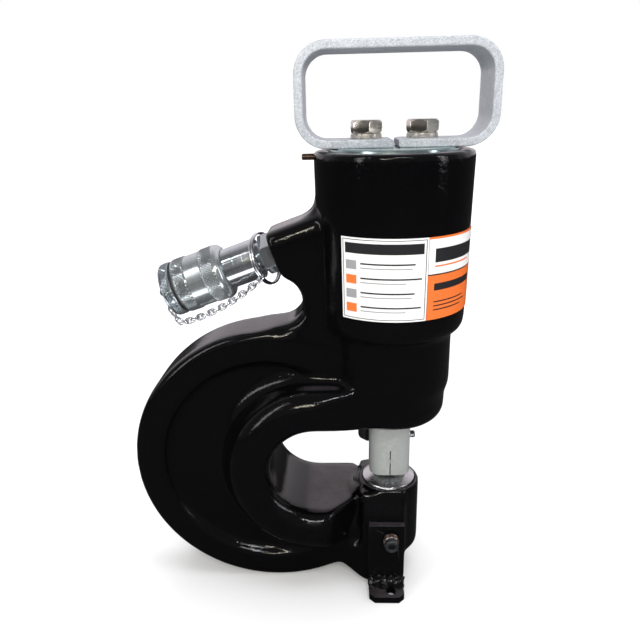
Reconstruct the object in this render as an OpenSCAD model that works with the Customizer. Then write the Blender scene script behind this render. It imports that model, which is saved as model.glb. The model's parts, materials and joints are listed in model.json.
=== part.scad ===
// Portable hydraulic hole punch: a forged C frame with its hydraulic cylinder, carry handle,
// screw coupler, adjustable stripper, die and bench feet. Millimetres, +Z up.
// The origin lies on the ground under the punch axis; the throat opens towards +X.

/* [Barrel and nose] */
// Height of the barrel's rim above the port face's centre
rim_rise = 64.8; // [60:0.2:78]
// Barrel radius at the rim
barrel_r = 51; // [49:0.5:56]
// Draft of the cast barrel, radius lost per height
barrel_draft_share = 0.02; // [0:0.005:0.025]
// Height of the barrel from its shoulder, which curves in, to the rim
barrel_h = 108.5; // [103:0.5:111]
// Radius of the shoulder's curve
shoulder_round = 9; // [5:0.5:10]
// Radius of the neck below the shoulder
neck_r = 41; // [39.5:0.5:44]
// Height of the neck's lower end
neck_end_z = 160; // [156:0.5:165]
// Height of the step from neck to nose
nose_step_h = 8; // [4:0.5:12]
// Radius of the nose
nose_r = 38.3; // [36:0.1:39]
// Height of the nose's flat underside
nose_z = 132.5; // [131.5:0.5:134]
// Rounding of the nose's lower edge
nose_round = 10; // [4:0.5:12]
// Chamfer round the rim
rim_chamfer = 1.5; // [0.5:0.1:3]

/* [C frame] */
// Outer radius of the C, which stands on the ground
c_r = 100; // [97:1:104]
// Distance of the C's centre behind the punch axis
c_back = 85; // [80:1:90]
// Width of the raised band round the C
c_rim_w = 21; // [15:0.5:25]
// Half thickness of the raised band
c_rim_half = 21; // [18:0.5:24]
// Rounding of the band's outer edges
c_rim_round = 4.5; // [2:0.5:10]
// Half thickness of the sunk web
c_web_half = 15; // [11:0.5:17]
// Radius of the throat's closed end
throat_r = 32.5; // [31:0.5:33]
// Distance of the throat's round end behind the punch axis
throat_back = 53; // [48:0.5:56]
// Rounding of the throat's edges
throat_round = 12; // [8:0.5:13]
// Half thickness of the flange round the throat
flange_half = 41; // [38:0.5:43]
// Width of the flange's flat round the throat
flange_w = 17; // [15:0.5:22]
// Width of the flange's slope down to the web
flange_slope_w = 28; // [28:0.5:30]
// Distance behind the punch axis where the lower arm starts to narrow
arm_knee = 48.5; // [44:0.5:50]
// Distance behind the punch axis where the lower arm's far side starts to narrow
arm_far_knee = 26; // [25:0.5:30]
// Half thickness of the lower arm at the die boss
arm_root_half = 12.2; // [10:0.2:16]
// Half thickness of the upper arm under the punch axis
arm_nose_half = 27; // [24:0.5:30]

/* [Port and spine] */
// Distance of the port face's centre behind the punch axis
port_back = 78.2; // [76:0.2:82]
// Height of the port face's centre above the top of the C
port_rise = 51.2; // [48:0.2:54]
// Slope of the coupler below the horizontal, in degrees
port_tilt = 19.5; // [17:0.5:22]
// Half height of the port neck
port_half = 15.5; // [14.5:0.5:17]
// Half thickness of the port neck
neck_half = 21; // [20.5:0.5:23]
// Half thickness of the plate below the port neck
spine_half = 20; // [17:0.5:20]
// Rounding of the port neck's edges
neck_edge_round = 8; // [3:0.5:10]
// Fillet between the port neck and the barrel
neck_fillet = 14; // [6:0.5:18]
// Distance of the bay's centre behind the punch axis
bay_back = 76.5; // [75:0.5:79]
// Height of the bay's centre above the top of the C
bay_rise = 20; // [19:0.5:22]
// Radius of the bay between the port neck and the C
bay_r = 16.5; // [15:0.5:17.5]
// Chamfer of the bay's edges
bay_chamfer = 5; // [2:0.5:8]
// Radius of the port's thread
port_thread_r = 8; // [7:0.25:9.5]
// Depth of the port's thread
port_thread_h = 15; // [10:0.5:18]
// Radius of the oil passage
oil_r = 3; // [2:0.25:3.5]

/* [Die boss and feet] */
// Radius of the die boss
boss_r = 22.5; // [22:0.25:26]
// Half width of the block through the boss, where the foot brackets sit
boss_half = 28.5; // [27:0.5:30]
// Half width of the block at the boss's top, on the near side
block_crown_half = 20.6; // [20.4:0.2:24]
// Half width of the block at the boss's top, on the far side
block_far_half = 27; // [24:0.5:27]
// Distance of the block's back face behind the punch axis
block_back = 21; // [18:0.5:21]
// Height of the boss's top
boss_top_z = 78; // [76.5:0.5:78]
// Rounding of the boss's top edge
boss_round = 2.5; // [1:0.25:2.75]
// Fillet between the boss and the lower arm
boss_fillet = 7; // [3:0.5:8]
// Height where the boss's lower chamfer starts
boss_chamfer_z = 23; // [22.5:0.5:30]
// Height of the boss's underside
boss_base_z = 21; // [17:0.5:22]
// Radius of the boss's underside
boss_base_r = 21; // [18:0.1:22]
// Distance of the pedestal's back end behind the punch axis
pedestal_back = 36; // [32:0.5:40]
// Height of the pedestal's back lower corner
pedestal_back_z = 12; // [10:0.5:18]
// Distance of the pedestal's toe behind the punch axis
pedestal_toe = 15; // [13:0.5:19]
// Front end of the block and the pedestal
pedestal_front = 11; // [10.5:0.5:12]
// Clearance of the pedestal above the ground
pedestal_lift = 0.8; // [0.4:0.1:2]
// Height of the die's top face
die_top_z = 82; // [80.5:0.25:82.25]
// Height of the die
die_h = 46; // [43:0.5:49]
// Drop of the die's outer edge below its top face
die_slope_h = 3.5; // [2:0.25:4]
// Radius of the die's top face
die_crown_r = 13; // [11:0.25:16]
// Radius of the die
die_r = 19.4; // [18:0.1:20]
// Height of the die's cutting land
die_land_h = 8; // [5:0.5:14]
// Clearance between punch and die, on the radius
die_clear = 0.4; // [0.3:0.05:0.6]
// Relief of the die's lower bore, on the radius
die_relief = 0.9; // [0.3:0.1:1]
// Clearance of the slug in the boss, on the radius of the die's lower bore
slug_clear = 1.4; // [0.5:0.1:1.6]
// Width of a foot bracket behind its bolt hole
foot_back_w = 16; // [10:0.5:17]
// Width of a foot bracket in front of its bolt hole
foot_front_w = 9.5; // [8.5:0.5:14]
// Thickness of the bracket's plates
foot_t = 5; // [4:0.25:6.5]
// Distance of a foot's outer edge from the frame's middle plane
foot_reach = 47.5; // [46:0.5:54]
// Height of the bracket's upright plate
foot_top_z = 56; // [52:0.5:60]
// Radius of a foot's bolt hole
foot_hole_r = 3.5; // [2.5:0.25:4]
// Distance of a foot's bolt hole from the frame's middle plane
foot_hole_y = 41; // [39.5:0.25:42.5]
// Chamfer of a foot's outer corners
foot_corner = 4; // [1:0.5:6]
// Leg of the weld bead in the bracket's corner
weld_leg = 5; // [2:0.5:6]
// Height of the die screw's axis
die_screw_z = 44.5; // [42:0.25:47]
// Radius of the die screw
die_screw_r = 5; // [4:0.25:6]
// Length of the die screw outside the bracket
die_screw_out = 8.5; // [6:0.5:11]
// Depth of the back bracket's screw in the boss
back_screw_h = 6; // [4:0.25:6.5]

/* [Ram and cylinder] */
// Radius of the cylinder bore
bore_r = 38; // [36:0.1:38.4]
// Radius of the end cap and its thread
cap_r = 41; // [40:0.1:43]
// Height of the end cap's threaded length
cap_thread_h = 26; // [20:0.5:28]
// Height of the end cap's spigot
cap_spigot_h = 16; // [13:0.5:17]
// Height of the end cap above the rim
cap_proud = 1.6; // [1:0.2:4]
// Room for oil between the piston at rest and the end cap
piston_gap = 12; // [11:0.5:15]
// Height of the piston
piston_h = 24; // [21:0.5:25]
// Stroke of the ram
stroke = 20; // [15:0.5:21]
// Radius of the ram rod inside the spring
rod_big_r = 16; // [14:0.25:17.5]
// Radius of the ram rod in its guides
rod_r = 10.4; // [9.5:0.1:11]
// Length of the ram rod's slim end
rod_slim_h = 64; // [62:0.5:66]
// Radius of the spring chamber
spring_bore_r = 30; // [28:0.5:33]
// Clearance below the piston at full stroke
bore_spare = 2; // [0.5:0.5:4]
// Radius of the return spring's wire
spring_wire_r = 2.25; // [1.5:0.05:2.4]
// Mean radius of the return spring
spring_mean_r = 23; // [21.5:0.25:25]
// Turns of the return spring
spring_turns = 8; // [5:1:9]
// Outer radius of the rod bush
bush_r = 18; // [16.5:0.25:19.5]
// Height of the rod bush
bush_h = 18; // [15:0.5:19]
// Radius of the punch
punch_r = 7; // [6:0.1:7.2]
// Length of the punch below the rod
punch_h = 23; // [22:0.25:24]
// Radius of the punch's screwed shank
punch_shank_r = 5.5; // [4:0.25:6.5]
// Length of the punch's screwed shank
punch_shank_h = 20; // [12:0.5:26]

/* [Stripper] */
// Half width of the stripper sleeve
sleeve_half = 14.6; // [14.2:0.1:16]
// Corner radius of the stripper sleeve
sleeve_round = 8; // [4:0.5:10]
// Height of the stripper's lower end at rest
sleeve_z = 86.5; // [85:0.5:88]
// Height of the stripper sleeve
sleeve_h = 37.5; // [34:0.5:38]
// Thickness of the stripping lip
lip_h = 3.5; // [2:0.25:4]
// Width of the slit in the sleeve's front
slit_w = 0.8; // [0.5:0.1:1.5]
// Height of the slit
slit_h = 20; // [10:0.5:24]
// Wall of the guide tube
tube_wall = 2; // [1.4:0.1:2.2]
// Length of the guide tube below the nose
tube_drop = 33.5; // [31:0.5:34]
// Height of the clamp knob's axis
knob_z = 107.5; // [105:0.5:109]
// Radius of the clamp knob
knob_r = 8; // [6:0.25:9]
// Length of the clamp knob
knob_h = 7; // [5:0.25:9]
// Radius of the clamp knob's screw
knob_screw_r = 2.5; // [2:0.25:3]
// Height of the stop screw's axis
stop_z = 112.5; // [109:0.5:115]
// Radius of the stop screw's head
stop_r = 2.6; // [2:0.1:3]

/* [Handle] */
// Width of the handle, outside
handle_w = 121.6; // [110:0.5:130]
// Height of the handle, outside
handle_h = 60.7; // [54:0.5:70]
// Width of the handle's flat bar
bar_w = 39; // [32:0.5:45]
// Thickness of the handle's flat bar
bar_t = 5.1; // [4:0.1:6.5]
// Outer radius of the handle's corners
handle_round = 19; // [14:0.5:24]
// Gap between the bar's ends
bar_gap = 3; // [1:0.5:6]
// Distance of a bolt from the punch axis
bolt_x = 17.5; // [16:0.25:19]
// Radius of a bolt's shank
bolt_r = 6; // [5:0.25:7]
// Width across the flats of a bolt head
bolt_flats = 18; // [16:0.5:20]
// Height of a bolt head
bolt_head_h = 8; // [6:0.25:10]
// Turn of the handle bolts' heads
bolt_turn = 38; // [0:1:60]
// Length of a bolt in the end cap
bolt_grip = 18; // [12:0.5:24]
// Thickness of a spring washer
washer_h = 3; // [2:0.1:4]
// Radius of the cap's lock pin
pin_r = 2; // [1.25:0.05:2.2]
// Depth of the lock pin's axis below the rim
pin_sink = 3.8; // [3.7:0.1:6]
// Length of the lock pin outside the rim
pin_out = 7.4; // [4:0.1:12]

/* [Coupler] */
// Width across the flats of the port adapter
adapter_flats = 24; // [22:0.5:26]
// Length of the port adapter's hexagon
adapter_h = 8; // [6:0.25:10]
// Radius of the coupler body
coupler_r = 13.7; // [12.5:0.1:14.5]
// Wall of the coupler body round its valve
coupler_wall = 4; // [3.5:0.1:4.5]
// Depth of the land that the collar turns on
land_drop = 0.8; // [0.5:0.1:1]
// Distance of the coupler body's inner end from the port face
coupler_start = 11; // [10.5:0.25:12]
// Distance of the coupler body's outer end from the port face
coupler_end = 57; // [54:0.5:58]
// Distance of the collar's shoulder from the port face
collar_start = 34.5; // [31:0.5:37]
// Length of the collar
collar_h = 34.6; // [33:0.2:36]
// Radius of the collar over its knurls
collar_r = 19; // [18.4:0.1:20.5]
// Depth of the collar's smooth waist
waist_depth = 0.8; // [0.3:0.1:1.4]
// Length of a knurled band
knurl_h = 9.5; // [7:0.25:10.5]
// Radius of the collar's shoulder curve
collar_round = 4.5; // [2:0.25:5]
// Radius of the collar's bore
collar_bore_r = 16.3; // [15.6:0.1:16.8]
// Length of the collar's grip on the coupler body
collar_grip = 7; // [5:0.25:9]
// Thickness of the retaining ring
retainer_h = 2; // [1.2:0.1:3]
// Gap between collar and dust cap
cap_gap = 1.8; // [1.2:0.1:2.4]
// Radius of the dust cap
dust_cap_r = 18.7; // [17.6:0.1:20]
// Thickness of the dust cap's rim
dust_cap_h = 7.5; // [6:0.25:11]
// Length of the dust cap's screwed plug
plug_h = 10; // [7:0.25:11]
// Radius of the valve poppet
poppet_r = 5; // [4:0.1:5.8]
// Travel of the valve poppet
poppet_travel = 4; // [2:0.25:5]
// Wire radius of the valve spring
valve_wire_r = 0.6; // [0.4:0.05:0.8]
// Turns of the valve spring
valve_turns = 6; // [4:1:8]

/* [Chain] */
// Mean radius of the chain's ring
ring_r = 19; // [17.5:0.25:21]
// Wire radius of the chain's ring
ring_wire_r = 1.2; // [0.8:0.05:1.4]
// Wire radius of a chain link
link_wire_r = 0.6; // [0.45:0.05:0.7]
// Length of a chain link's hole
link_hole = 4.9; // [4.4:0.1:5.4]
// Mean radius of a chain link's round end
link_r = 1.55; // [1.5:0.05:1.8]
// Sag of the chain between ring and cap
chain_sag = 1.5; // [1:0.25:4]

/* [Label] */
// Height of the label's lower edge above the barrel's shoulder
label_rise = 9.5; // [8.5:0.5:14.5]
// Height of the label
label_h = 51.5; // [40:0.5:56]
// Thickness of the label
label_t = 0.4; // [0.3:0.05:0.6]
// Angle of the plain panel's left edge from the front
label_from_angle = -42; // [-50:1:-30]
// Angle between the two panels
label_split_angle = 20.5; // [10:0.5:30]
// Angle of the coloured panel's right edge from the front
label_to_angle = 80; // [60:1:90]

/* [Hidden] */
$fn = 96;

// Overrun of every cut past the face that it opens
over = 1;
// Radial clearance of a running or screwed fit
fit = 0.05;
// Clearance between faces of pieces that move apart
clear = 0.3;
// Chamfer of small turned pieces
small_chamfer = 0.8;
// Sides of a wound wire, and its rings in one turn
wire_sides = 6;
wire_rings = 12;
// Samples along the chain's route
route_steps = 60;

// Heights of the barrel and the port above the C, which stands on the ground
c_z = c_r;
c_top_z = c_z + c_r;
port_z = c_top_z + port_rise;
bay_z = c_top_z + bay_rise;
rim_z = port_z + rim_rise;
shoulder_z = rim_z - barrel_h;
label_z = shoulder_z + label_rise;
// Gap between the two panels of the label, in degrees
label_gap_angle = 0.4;

// Heights inside the barrel
cap_seat_z = rim_z - cap_thread_h;
cap_base_z = cap_seat_z - cap_spigot_h;
cap_top_z = rim_z + cap_proud;
piston_top_z = cap_base_z - piston_gap;
piston_base_z = piston_top_z - piston_h;
bore_floor_z = piston_base_z - stroke - bore_spare;
spring_floor_z = neck_end_z;
bush_base_z = spring_floor_z - bush_h;
tube_flange_h = 4;
tube_flange_r = bush_r - 2 * small_chamfer;
tube_seat_z = bush_base_z - tube_flange_h;
tube_r = rod_r + fit + tube_wall;
tube_base_z = nose_z - tube_drop;
punch_overhang = 4;
punch_tip_z = tube_base_z - punch_overhang;
rod_end_z = punch_tip_z + punch_h;
rod_step_z = rod_end_z + rod_slim_h;

// Seals and bands inside the cylinder
cap_seal_w = 3.2;
cap_seal_h = 4.2;
cap_seal_z = cap_base_z + cap_spigot_h / 2;
piston_seal_w = 4;
piston_seal_h = 6;
piston_seal_z = piston_top_z - 2 * piston_seal_h;
wear_w = 1.6;
wear_z = piston_base_z + wear_w;
wiper_h = 4;
wiper_w = 3;

// Centres in the plane of the frame
throat_z = nose_z - throat_r;
axis_cos = cos(port_tilt);
axis_sin = sin(port_tilt);
barrel_shoulder_r = barrel_r - barrel_draft_share * (rim_z - shoulder_z);
block_top_z = boss_top_z - boss_round;
pedestal_shoulder_z = (foot_top_z + pedestal_back_z) / 2;
spine_inset = 2 * over;
die_base_z = die_top_z - die_h;
die_hole_r = punch_r + die_clear;
slug_r = die_hole_r + die_relief + slug_clear;
bracket_y = boss_half + foot_t;
foot_w = foot_back_w + foot_front_w;
knob_seat = (sleeve_half - sleeve_round) * sqrt(2) + sleeve_round + clear;
// Height of the stop screw's head over its radius
stop_head_share = 1.7;

// Distances along the coupler from the port face
collar_end = collar_start + collar_h;
collar_step = collar_start + collar_grip;
cap_start = collar_end + cap_gap;
cap_end = cap_start + dust_cap_h;
retainer_start = collar_step + clear;
land_r = coupler_r - land_drop;
body_seal_w = 1.2;
body_seal_h = 1.6;
body_seal_start = coupler_end - retainer_h - body_seal_h / 2;
valve_floor = coupler_start + port_thread_h;
valve_seat = coupler_end - 2 * retainer_h - poppet_r;
valve_bore_r = coupler_r - coupler_wall;
poppet_flange_r = valve_bore_r - clear;
poppet_flange_h = 3;
poppet_stem_r = 1.6;
plug_ring_h = 4;
rivet_r = 3;
rivet_h = 3.2;

// Chain ring and route of the chain in the coupler's own frame: [up, across, along]
ring_at = adapter_h / 2;
adapter_corner_r = adapter_flats / 2 / cos(30);
ring_drop = ring_r - ring_wire_r - adapter_corner_r - clear;
// Angle of the chain's first link round the ring, from its lowest point towards the front
ring_turn = 50;
// Share of the route that hangs under the collar
hang_share = 0.82;
eye_wire_r = link_wire_r + fit;
eye_r = 2 * link_r - link_wire_r;
eye_at = cap_end + rivet_h / 2 + 2 * link_r;
chain_from = [
    -ring_drop - ring_r * cos(ring_turn), -ring_r * sin(ring_turn), ring_at - ring_wire_r - clear / 2
];
chain_low = [-collar_r - 3 * link_r, 0, cap_end + rivet_h];
chain_turn = [-collar_r + link_r, 0, cap_end + 2 * rivet_h];
chain_to = [-eye_r + eye_wire_r + clear / 2, 0, eye_at];

function barrel_at(z) = barrel_r - barrel_draft_share * (rim_z - z);
function lerp(a, b, t) = a + (b - a) * t;

// Places local +Z along the coupler, out of the port face, with local +X upwards
module on_port(along = 0) {
    translate([-port_back, 0, port_z])
        rotate([0, -90 - port_tilt, 0])
            translate([0, 0, along])
                children();
}

module both_sides() {
    children();
    mirror([0, 1, 0]) children();
}

module at_z(z) {
    translate([0, 0, z]) children();
}

module ring(outer, inner, h) {
    difference() {
        cylinder(h = h, r = outer);
        at_z(-over) cylinder(h = h + 2 * over, r = inner);
    }
}

module turned(r, h, chamfer = small_chamfer) {
    rotate_extrude()
        polygon([[0, 0], [r - chamfer, 0], [r, chamfer], [r, h - chamfer], [r - chamfer, h], [0, h]]);
}

module hex_prism(flats, h) {
    cylinder(h = h, r = flats / 2 / cos(30), $fn = 6);
}

// Rounded rectangle, centred
module rounded_rect(w, h, r) {
    square([w - 2 * r, h], center = true);
    square([w, h - 2 * r], center = true);
    for (x = [-1, 1], y = [-1, 1])
        translate([x * (w / 2 - r), y * (h / 2 - r)])
            circle(r);
}

// Turns a profile of radius and thickness about a line across the frame
module across_frame(x, z, from = 0, angle = 360) {
    translate([x, 0, z])
        rotate([90, 0, 0])
            rotate([0, 0, from])
                rotate_extrude(angle = angle)
                    children();
}

// Profile of a round opening of radius r whose edges at both faces are rounded off
module eased_hole_profile(r, half, edge) {
    both_sides() {
        square([r, half + over]);
        difference() {
            translate([0, half - edge]) square([r + edge, edge + over]);
            translate([r + edge, half - edge]) circle(edge);
        }
    }
}

// Profile of a round opening of radius r whose edges at both faces are chamfered
module chamfered_hole_profile(r, half, edge) {
    both_sides()
        polygon([[0, 0], [r, 0], [r, half - edge], [r + edge + over, half + over], [0, half + over]]);
}

// Profile of the raised band and the sunk web of the C
module c_profile() {
    band_r = c_r - c_rim_w;
    drop = c_rim_half - c_web_half;
    both_sides() {
        square([c_r, c_web_half]);
        translate([band_r, 0]) {
            square([c_rim_w, c_rim_half - c_rim_round]);
            square([c_rim_w - c_rim_round, c_rim_half]);
            translate([c_rim_w - c_rim_round, c_rim_half - c_rim_round]) circle(c_rim_round);
        }
        difference() {
            translate([band_r - drop, 0]) square([drop, c_rim_half]);
            translate([band_r - drop, c_rim_half]) circle(drop);
        }
    }
}

// Profile of the flange round the throat, which slopes to the web in two equal curves
module flange_profile() {
    drop = flange_half - c_web_half;
    bend = (flange_slope_w * flange_slope_w + drop * drop) / (4 * drop);
    edge = throat_r + flange_w;
    both_sides() {
        square([edge, flange_half]);
        translate([edge, flange_half - bend]) circle(bend);
        difference() {
            square([edge + flange_slope_w, (flange_half + c_web_half) / 2]);
            translate([edge + flange_slope_w, c_web_half + bend]) circle(bend);
        }
    }
}

// Sweeps a profile along the throat: half a turn at the back, then straight towards the front
module along_throat(length) {
    across_frame(-throat_back, throat_z, 90, 180) children();
    for (side = [0, 1])
        translate([-throat_back, 0, throat_z])
            mirror([0, 0, side])
                rotate([0, 90, 0])
                    linear_extrude(height = length)
                        intersection() {
                            children();
                            translate([0, -c_r]) square([c_r, 2 * c_r]);
                        }
}

module c_disc() {
    difference() {
        across_frame(-c_back, c_z) c_profile();
        translate([0, -c_r, -over]) cube([c_r, 2 * c_r, 2 * c_r + 2 * over]);
    }
}

// Plan of the lower arm, which narrows from the flange to the die boss, on its far side only close to it
module arm_plan() {
    polygon([
        [-c_back - c_r, -flange_half], [-arm_knee, -flange_half], [-boss_r, -arm_root_half], [0, -arm_root_half],
        [0, block_crown_half], [boss_round - block_back, block_crown_half], [-arm_far_knee, flange_half],
        [-c_back - c_r, flange_half]
    ]);
}

// Plan of the upper arm, which narrows from the flange into the nose
module nose_plan() {
    both_sides()
        polygon([
            [-c_back - c_r, 0], [-c_back - c_r, flange_half], [-throat_back, flange_half],
            [0, arm_nose_half], [0, 0]
        ]);
}

// What a straight arm of the flange loses outside its plan, from a distance behind the punch axis on
module arm_waste(back, base_z, height) {
    difference() {
        translate([-back, -flange_half - over, base_z])
            cube([back + over, 2 * flange_half + 2 * over, height]);
        at_z(base_z - over) linear_extrude(height = height + 2 * over) children();
    }
}

module throat_flange() {
    difference() {
        along_throat(throat_back) flange_profile();
        arm_waste(arm_knee, -over, throat_z + over) arm_plan();
        arm_waste(throat_back, throat_z, c_r) nose_plan();
    }
}

// Plate between the port neck, the barrel and the top of the C
module spine_plate() {
    top = [-port_back + spine_inset * axis_cos, port_z + spine_inset * axis_sin];
    foot = top + port_half * [axis_sin, -axis_cos];
    ramp_back = c_back + c_rim_w;
    ramp_z = c_z + sqrt(c_r * c_r - c_rim_w * c_rim_w) - over;
    band_z = c_top_z - c_rim_w;
    rotate([90, 0, 0])
        linear_extrude(height = 2 * spine_half, center = true)
            polygon([
                foot, top, [0, port_z + port_back * axis_sin / axis_cos],
                [0, neck_end_z], [-neck_r, neck_end_z], [-bay_back, band_z], [-ramp_back, band_z],
                [-ramp_back, ramp_z], [-bay_back, bay_z - bay_r]
            ]);
}

module port_neck() {
    on_port(-port_back + neck_r)
        linear_extrude(height = port_back - neck_r)
            rounded_rect(2 * port_half, 2 * neck_half, neck_edge_round);
}

// Fillet above the port neck, in two slopes between the barrel and the neck
module port_neck_fillet() {
    wall_r = barrel_at(port_z + port_half);
    corner_z = port_z + (port_back - wall_r + port_half * axis_sin) * axis_sin / axis_cos
        + port_half * axis_cos;
    reach = neck_fillet * tan(45 - port_tilt / 2);
    root = neck_fillet / 2;
    half_arc = (90 - port_tilt) / 2;
    rotate([90, 0, 0])
        linear_extrude(height = 2 * (neck_half - neck_edge_round - over), center = true)
            translate([-wall_r, corner_z])
                polygon([
                    [root, -root], [root, reach], [0, reach],
                    [-neck_fillet * (1 - cos(half_arc)), reach - neck_fillet * sin(half_arc)],
                    [-reach * axis_cos, -reach * axis_sin], [-reach * axis_cos, -reach * axis_sin - root]
                ]);
}

module barrel_form() {
    rotate_extrude() {
        polygon([
            [0, shoulder_z], [barrel_shoulder_r, shoulder_z],
            [barrel_at(rim_z - rim_chamfer), rim_z - rim_chamfer], [barrel_r - rim_chamfer, rim_z], [0, rim_z]
        ]);
        intersection() {
            translate([barrel_shoulder_r - shoulder_round, shoulder_z]) circle(shoulder_round);
            translate([0, shoulder_z - shoulder_round]) square([barrel_r, shoulder_round]);
        }
        translate([0, shoulder_z - shoulder_round])
            square([barrel_shoulder_r - shoulder_round, shoulder_round]);
        translate([0, neck_end_z]) square([neck_r, shoulder_z - neck_end_z]);
        polygon([
            [0, neck_end_z], [neck_r, neck_end_z], [nose_r, neck_end_z - nose_step_h],
            [0, neck_end_z - nose_step_h]
        ]);
        translate([0, nose_z + nose_round])
            square([nose_r, neck_end_z - nose_step_h - nose_z - nose_round]);
        translate([0, nose_z]) square([nose_r - nose_round, nose_round]);
        intersection() {
            translate([nose_r - nose_round, nose_z + nose_round]) circle(nose_round);
            translate([0, nose_z]) square([nose_r, nose_round]);
        }
    }
}

module boss_profile() {
    polygon([
        [0, boss_base_z], [boss_base_r, boss_base_z], [boss_r, boss_chamfer_z],
        [boss_r, boss_top_z - boss_round], [boss_r - boss_round, boss_top_z], [0, boss_top_z]
    ]);
    translate([boss_r - boss_round, boss_top_z - boss_round]) circle(boss_round);
}

// Section of the boss and its block across the frame, which slopes in above the foot brackets
module boss_section() {
    start_z = foot_top_z + over;
    near_share = (boss_top_z - start_z) / (boss_half - block_crown_half);
    far_share = (boss_top_z - start_z) / (boss_half - block_far_half);
    reach = boss_half + over;
    polygon([
        [-reach, 0], [reach, 0], [reach, start_z - over * far_share],
        [block_far_half - over / far_share, boss_top_z + over],
        [over / near_share - block_crown_half, boss_top_z + over], [-reach, start_z - over * near_share]
    ]);
}

// Side view of the block through the boss and of the pedestal under it
module pedestal_side() {
    polygon([
        [-c_back, foot_top_z / 2], [-c_back, pedestal_lift], [-pedestal_back, pedestal_back_z],
        [-pedestal_toe, pedestal_lift], [pedestal_front, pedestal_lift],
        [pedestal_front, block_top_z], [-block_back, block_top_z], [-block_back, pedestal_shoulder_z]
    ]);
}

// Round boss, cut by the slopes on both sides, with its block and pedestal
module boss_form() {
    intersection() {
        union() {
            rotate_extrude() boss_profile();
            intersection() {
                rotate([90, 0, 0])
                    linear_extrude(height = 2 * boss_half + 2 * over, center = true) pedestal_side();
                linear_extrude(height = boss_top_z) pedestal_plan();
            }
        }
        translate([-c_back - over, 0, 0])
            rotate([90, 0, 90])
                linear_extrude(height = c_back + boss_r + 2 * over) boss_section();
    }
}

// Sloping fillet between the back of the boss and the lower arm
module boss_fillet_form() {
    floor_z = throat_z - throat_r;
    intersection() {
        at_z(floor_z)
            rotate([0, 0, 90])
                rotate_extrude(angle = 180) boss_fillet_profile();
        at_z(floor_z - over) linear_extrude(height = boss_fillet + over) arm_plan();
    }
}

module boss_fillet_profile() {
    root = boss_r - boss_round;
    polygon([
        [root, -over], [boss_r + boss_fillet + over, -over], [boss_r, boss_fillet], [root, boss_fillet]
    ]);
}

// Plan of the pedestal, which widens from the band of the C to the block
module pedestal_plan() {
    both_sides()
        polygon([
            [-c_back - over, 0], [-c_back - over, c_rim_half - c_rim_round], [-pedestal_back, c_rim_half],
            [-block_back, boss_half], [pedestal_front + over, boss_half], [pedestal_front + over, 0]
        ]);
}

module cylinder_bores() {
    at_z(cap_seat_z) cylinder(h = cap_thread_h + over, r = cap_r + fit);
    at_z(bore_floor_z) cylinder(h = cap_seat_z - bore_floor_z + over, r = bore_r);
    at_z(spring_floor_z) cylinder(h = bore_floor_z - spring_floor_z + over, r = spring_bore_r);
    at_z(bush_base_z) cylinder(h = bush_h + over, r = bush_r + fit);
    at_z(tube_seat_z) cylinder(h = tube_flange_h + over, r = tube_flange_r + fit);
    at_z(nose_z - over) cylinder(h = tube_seat_z - nose_z + 2 * over, r = tube_r + fit);
}

module lock_pin_hole() {
    translate([-barrel_r - over, 0, rim_z - pin_sink])
        rotate([0, 90, 0])
            cylinder(h = barrel_r - cap_r + over + 2 * pin_r, r = pin_r + fit);
}

module c_frame() {
    color("#141416")
        difference() {
            union() {
                difference() {
                    union() {
                        c_disc();
                        throat_flange();
                    }
                    along_throat(throat_back + over) eased_hole_profile(throat_r, flange_half, throat_round);
                }
                difference() {
                    spine_plate();
                    across_frame(-bay_back, bay_z) chamfered_hole_profile(bay_r, spine_half, bay_chamfer);
                }
                port_neck();
                port_neck_fillet();
                barrel_form();
                boss_form();
                boss_fillet_form();
            }
            cylinder_bores();
            lock_pin_hole();
            on_port(-port_thread_h) cylinder(h = port_thread_h + over, r = port_thread_r + fit);
            on_port(-port_back + bore_r / 2) cylinder(h = port_back - bore_r / 2, r = oil_r);
            at_z(die_base_z) cylinder(h = die_h, r = die_r + fit);
            at_z(-over) cylinder(h = die_base_z + 2 * over, r = slug_r);
            at_z(die_screw_z)
                rotate([90, 0, 0])
                    cylinder(h = boss_half + over, r = die_screw_r + fit);
            translate([0, boss_half - back_screw_h, die_screw_z])
                rotate([-90, 0, 0])
                    cylinder(h = back_screw_h + over, r = die_screw_r + fit);
        }
}

// Groove for a ring seal of section w by h, cut into a shaft of radius r
module seal_groove(r, w, h) {
    difference() {
        cylinder(h = h, r = r + over);
        at_z(-over) cylinder(h = h + 2 * over, r = r - w);
    }
}

module end_cap() {
    color("#b9c0c6")
        difference() {
            union() {
                at_z(cap_base_z) cylinder(h = cap_spigot_h + over, r = bore_r - fit);
                at_z(cap_seat_z) turned(cap_r, cap_top_z - cap_seat_z);
            }
            at_z(cap_seal_z) seal_groove(bore_r - fit, cap_seal_w, cap_seal_h);
            for (side = [-1, 1])
                translate([side * bolt_x, 0, cap_top_z - bolt_grip - over])
                    cylinder(h = bolt_grip + 2 * over, r = bolt_r + fit);
            lock_pin_hole();
        }
}

module cap_o_ring() {
    color("#2a2a2a")
        at_z(cap_seal_z + fit)
            ring(bore_r - fit, bore_r - cap_seal_w, cap_seal_h - 2 * fit);
}

module cap_lock_pin() {
    color("#5a4034")
        translate([-barrel_r - pin_out, 0, rim_z - pin_sink])
            rotate([0, 90, 0])
                turned(pin_r, pin_out + barrel_r - cap_r + pin_r, pin_r / 4);
}

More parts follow.
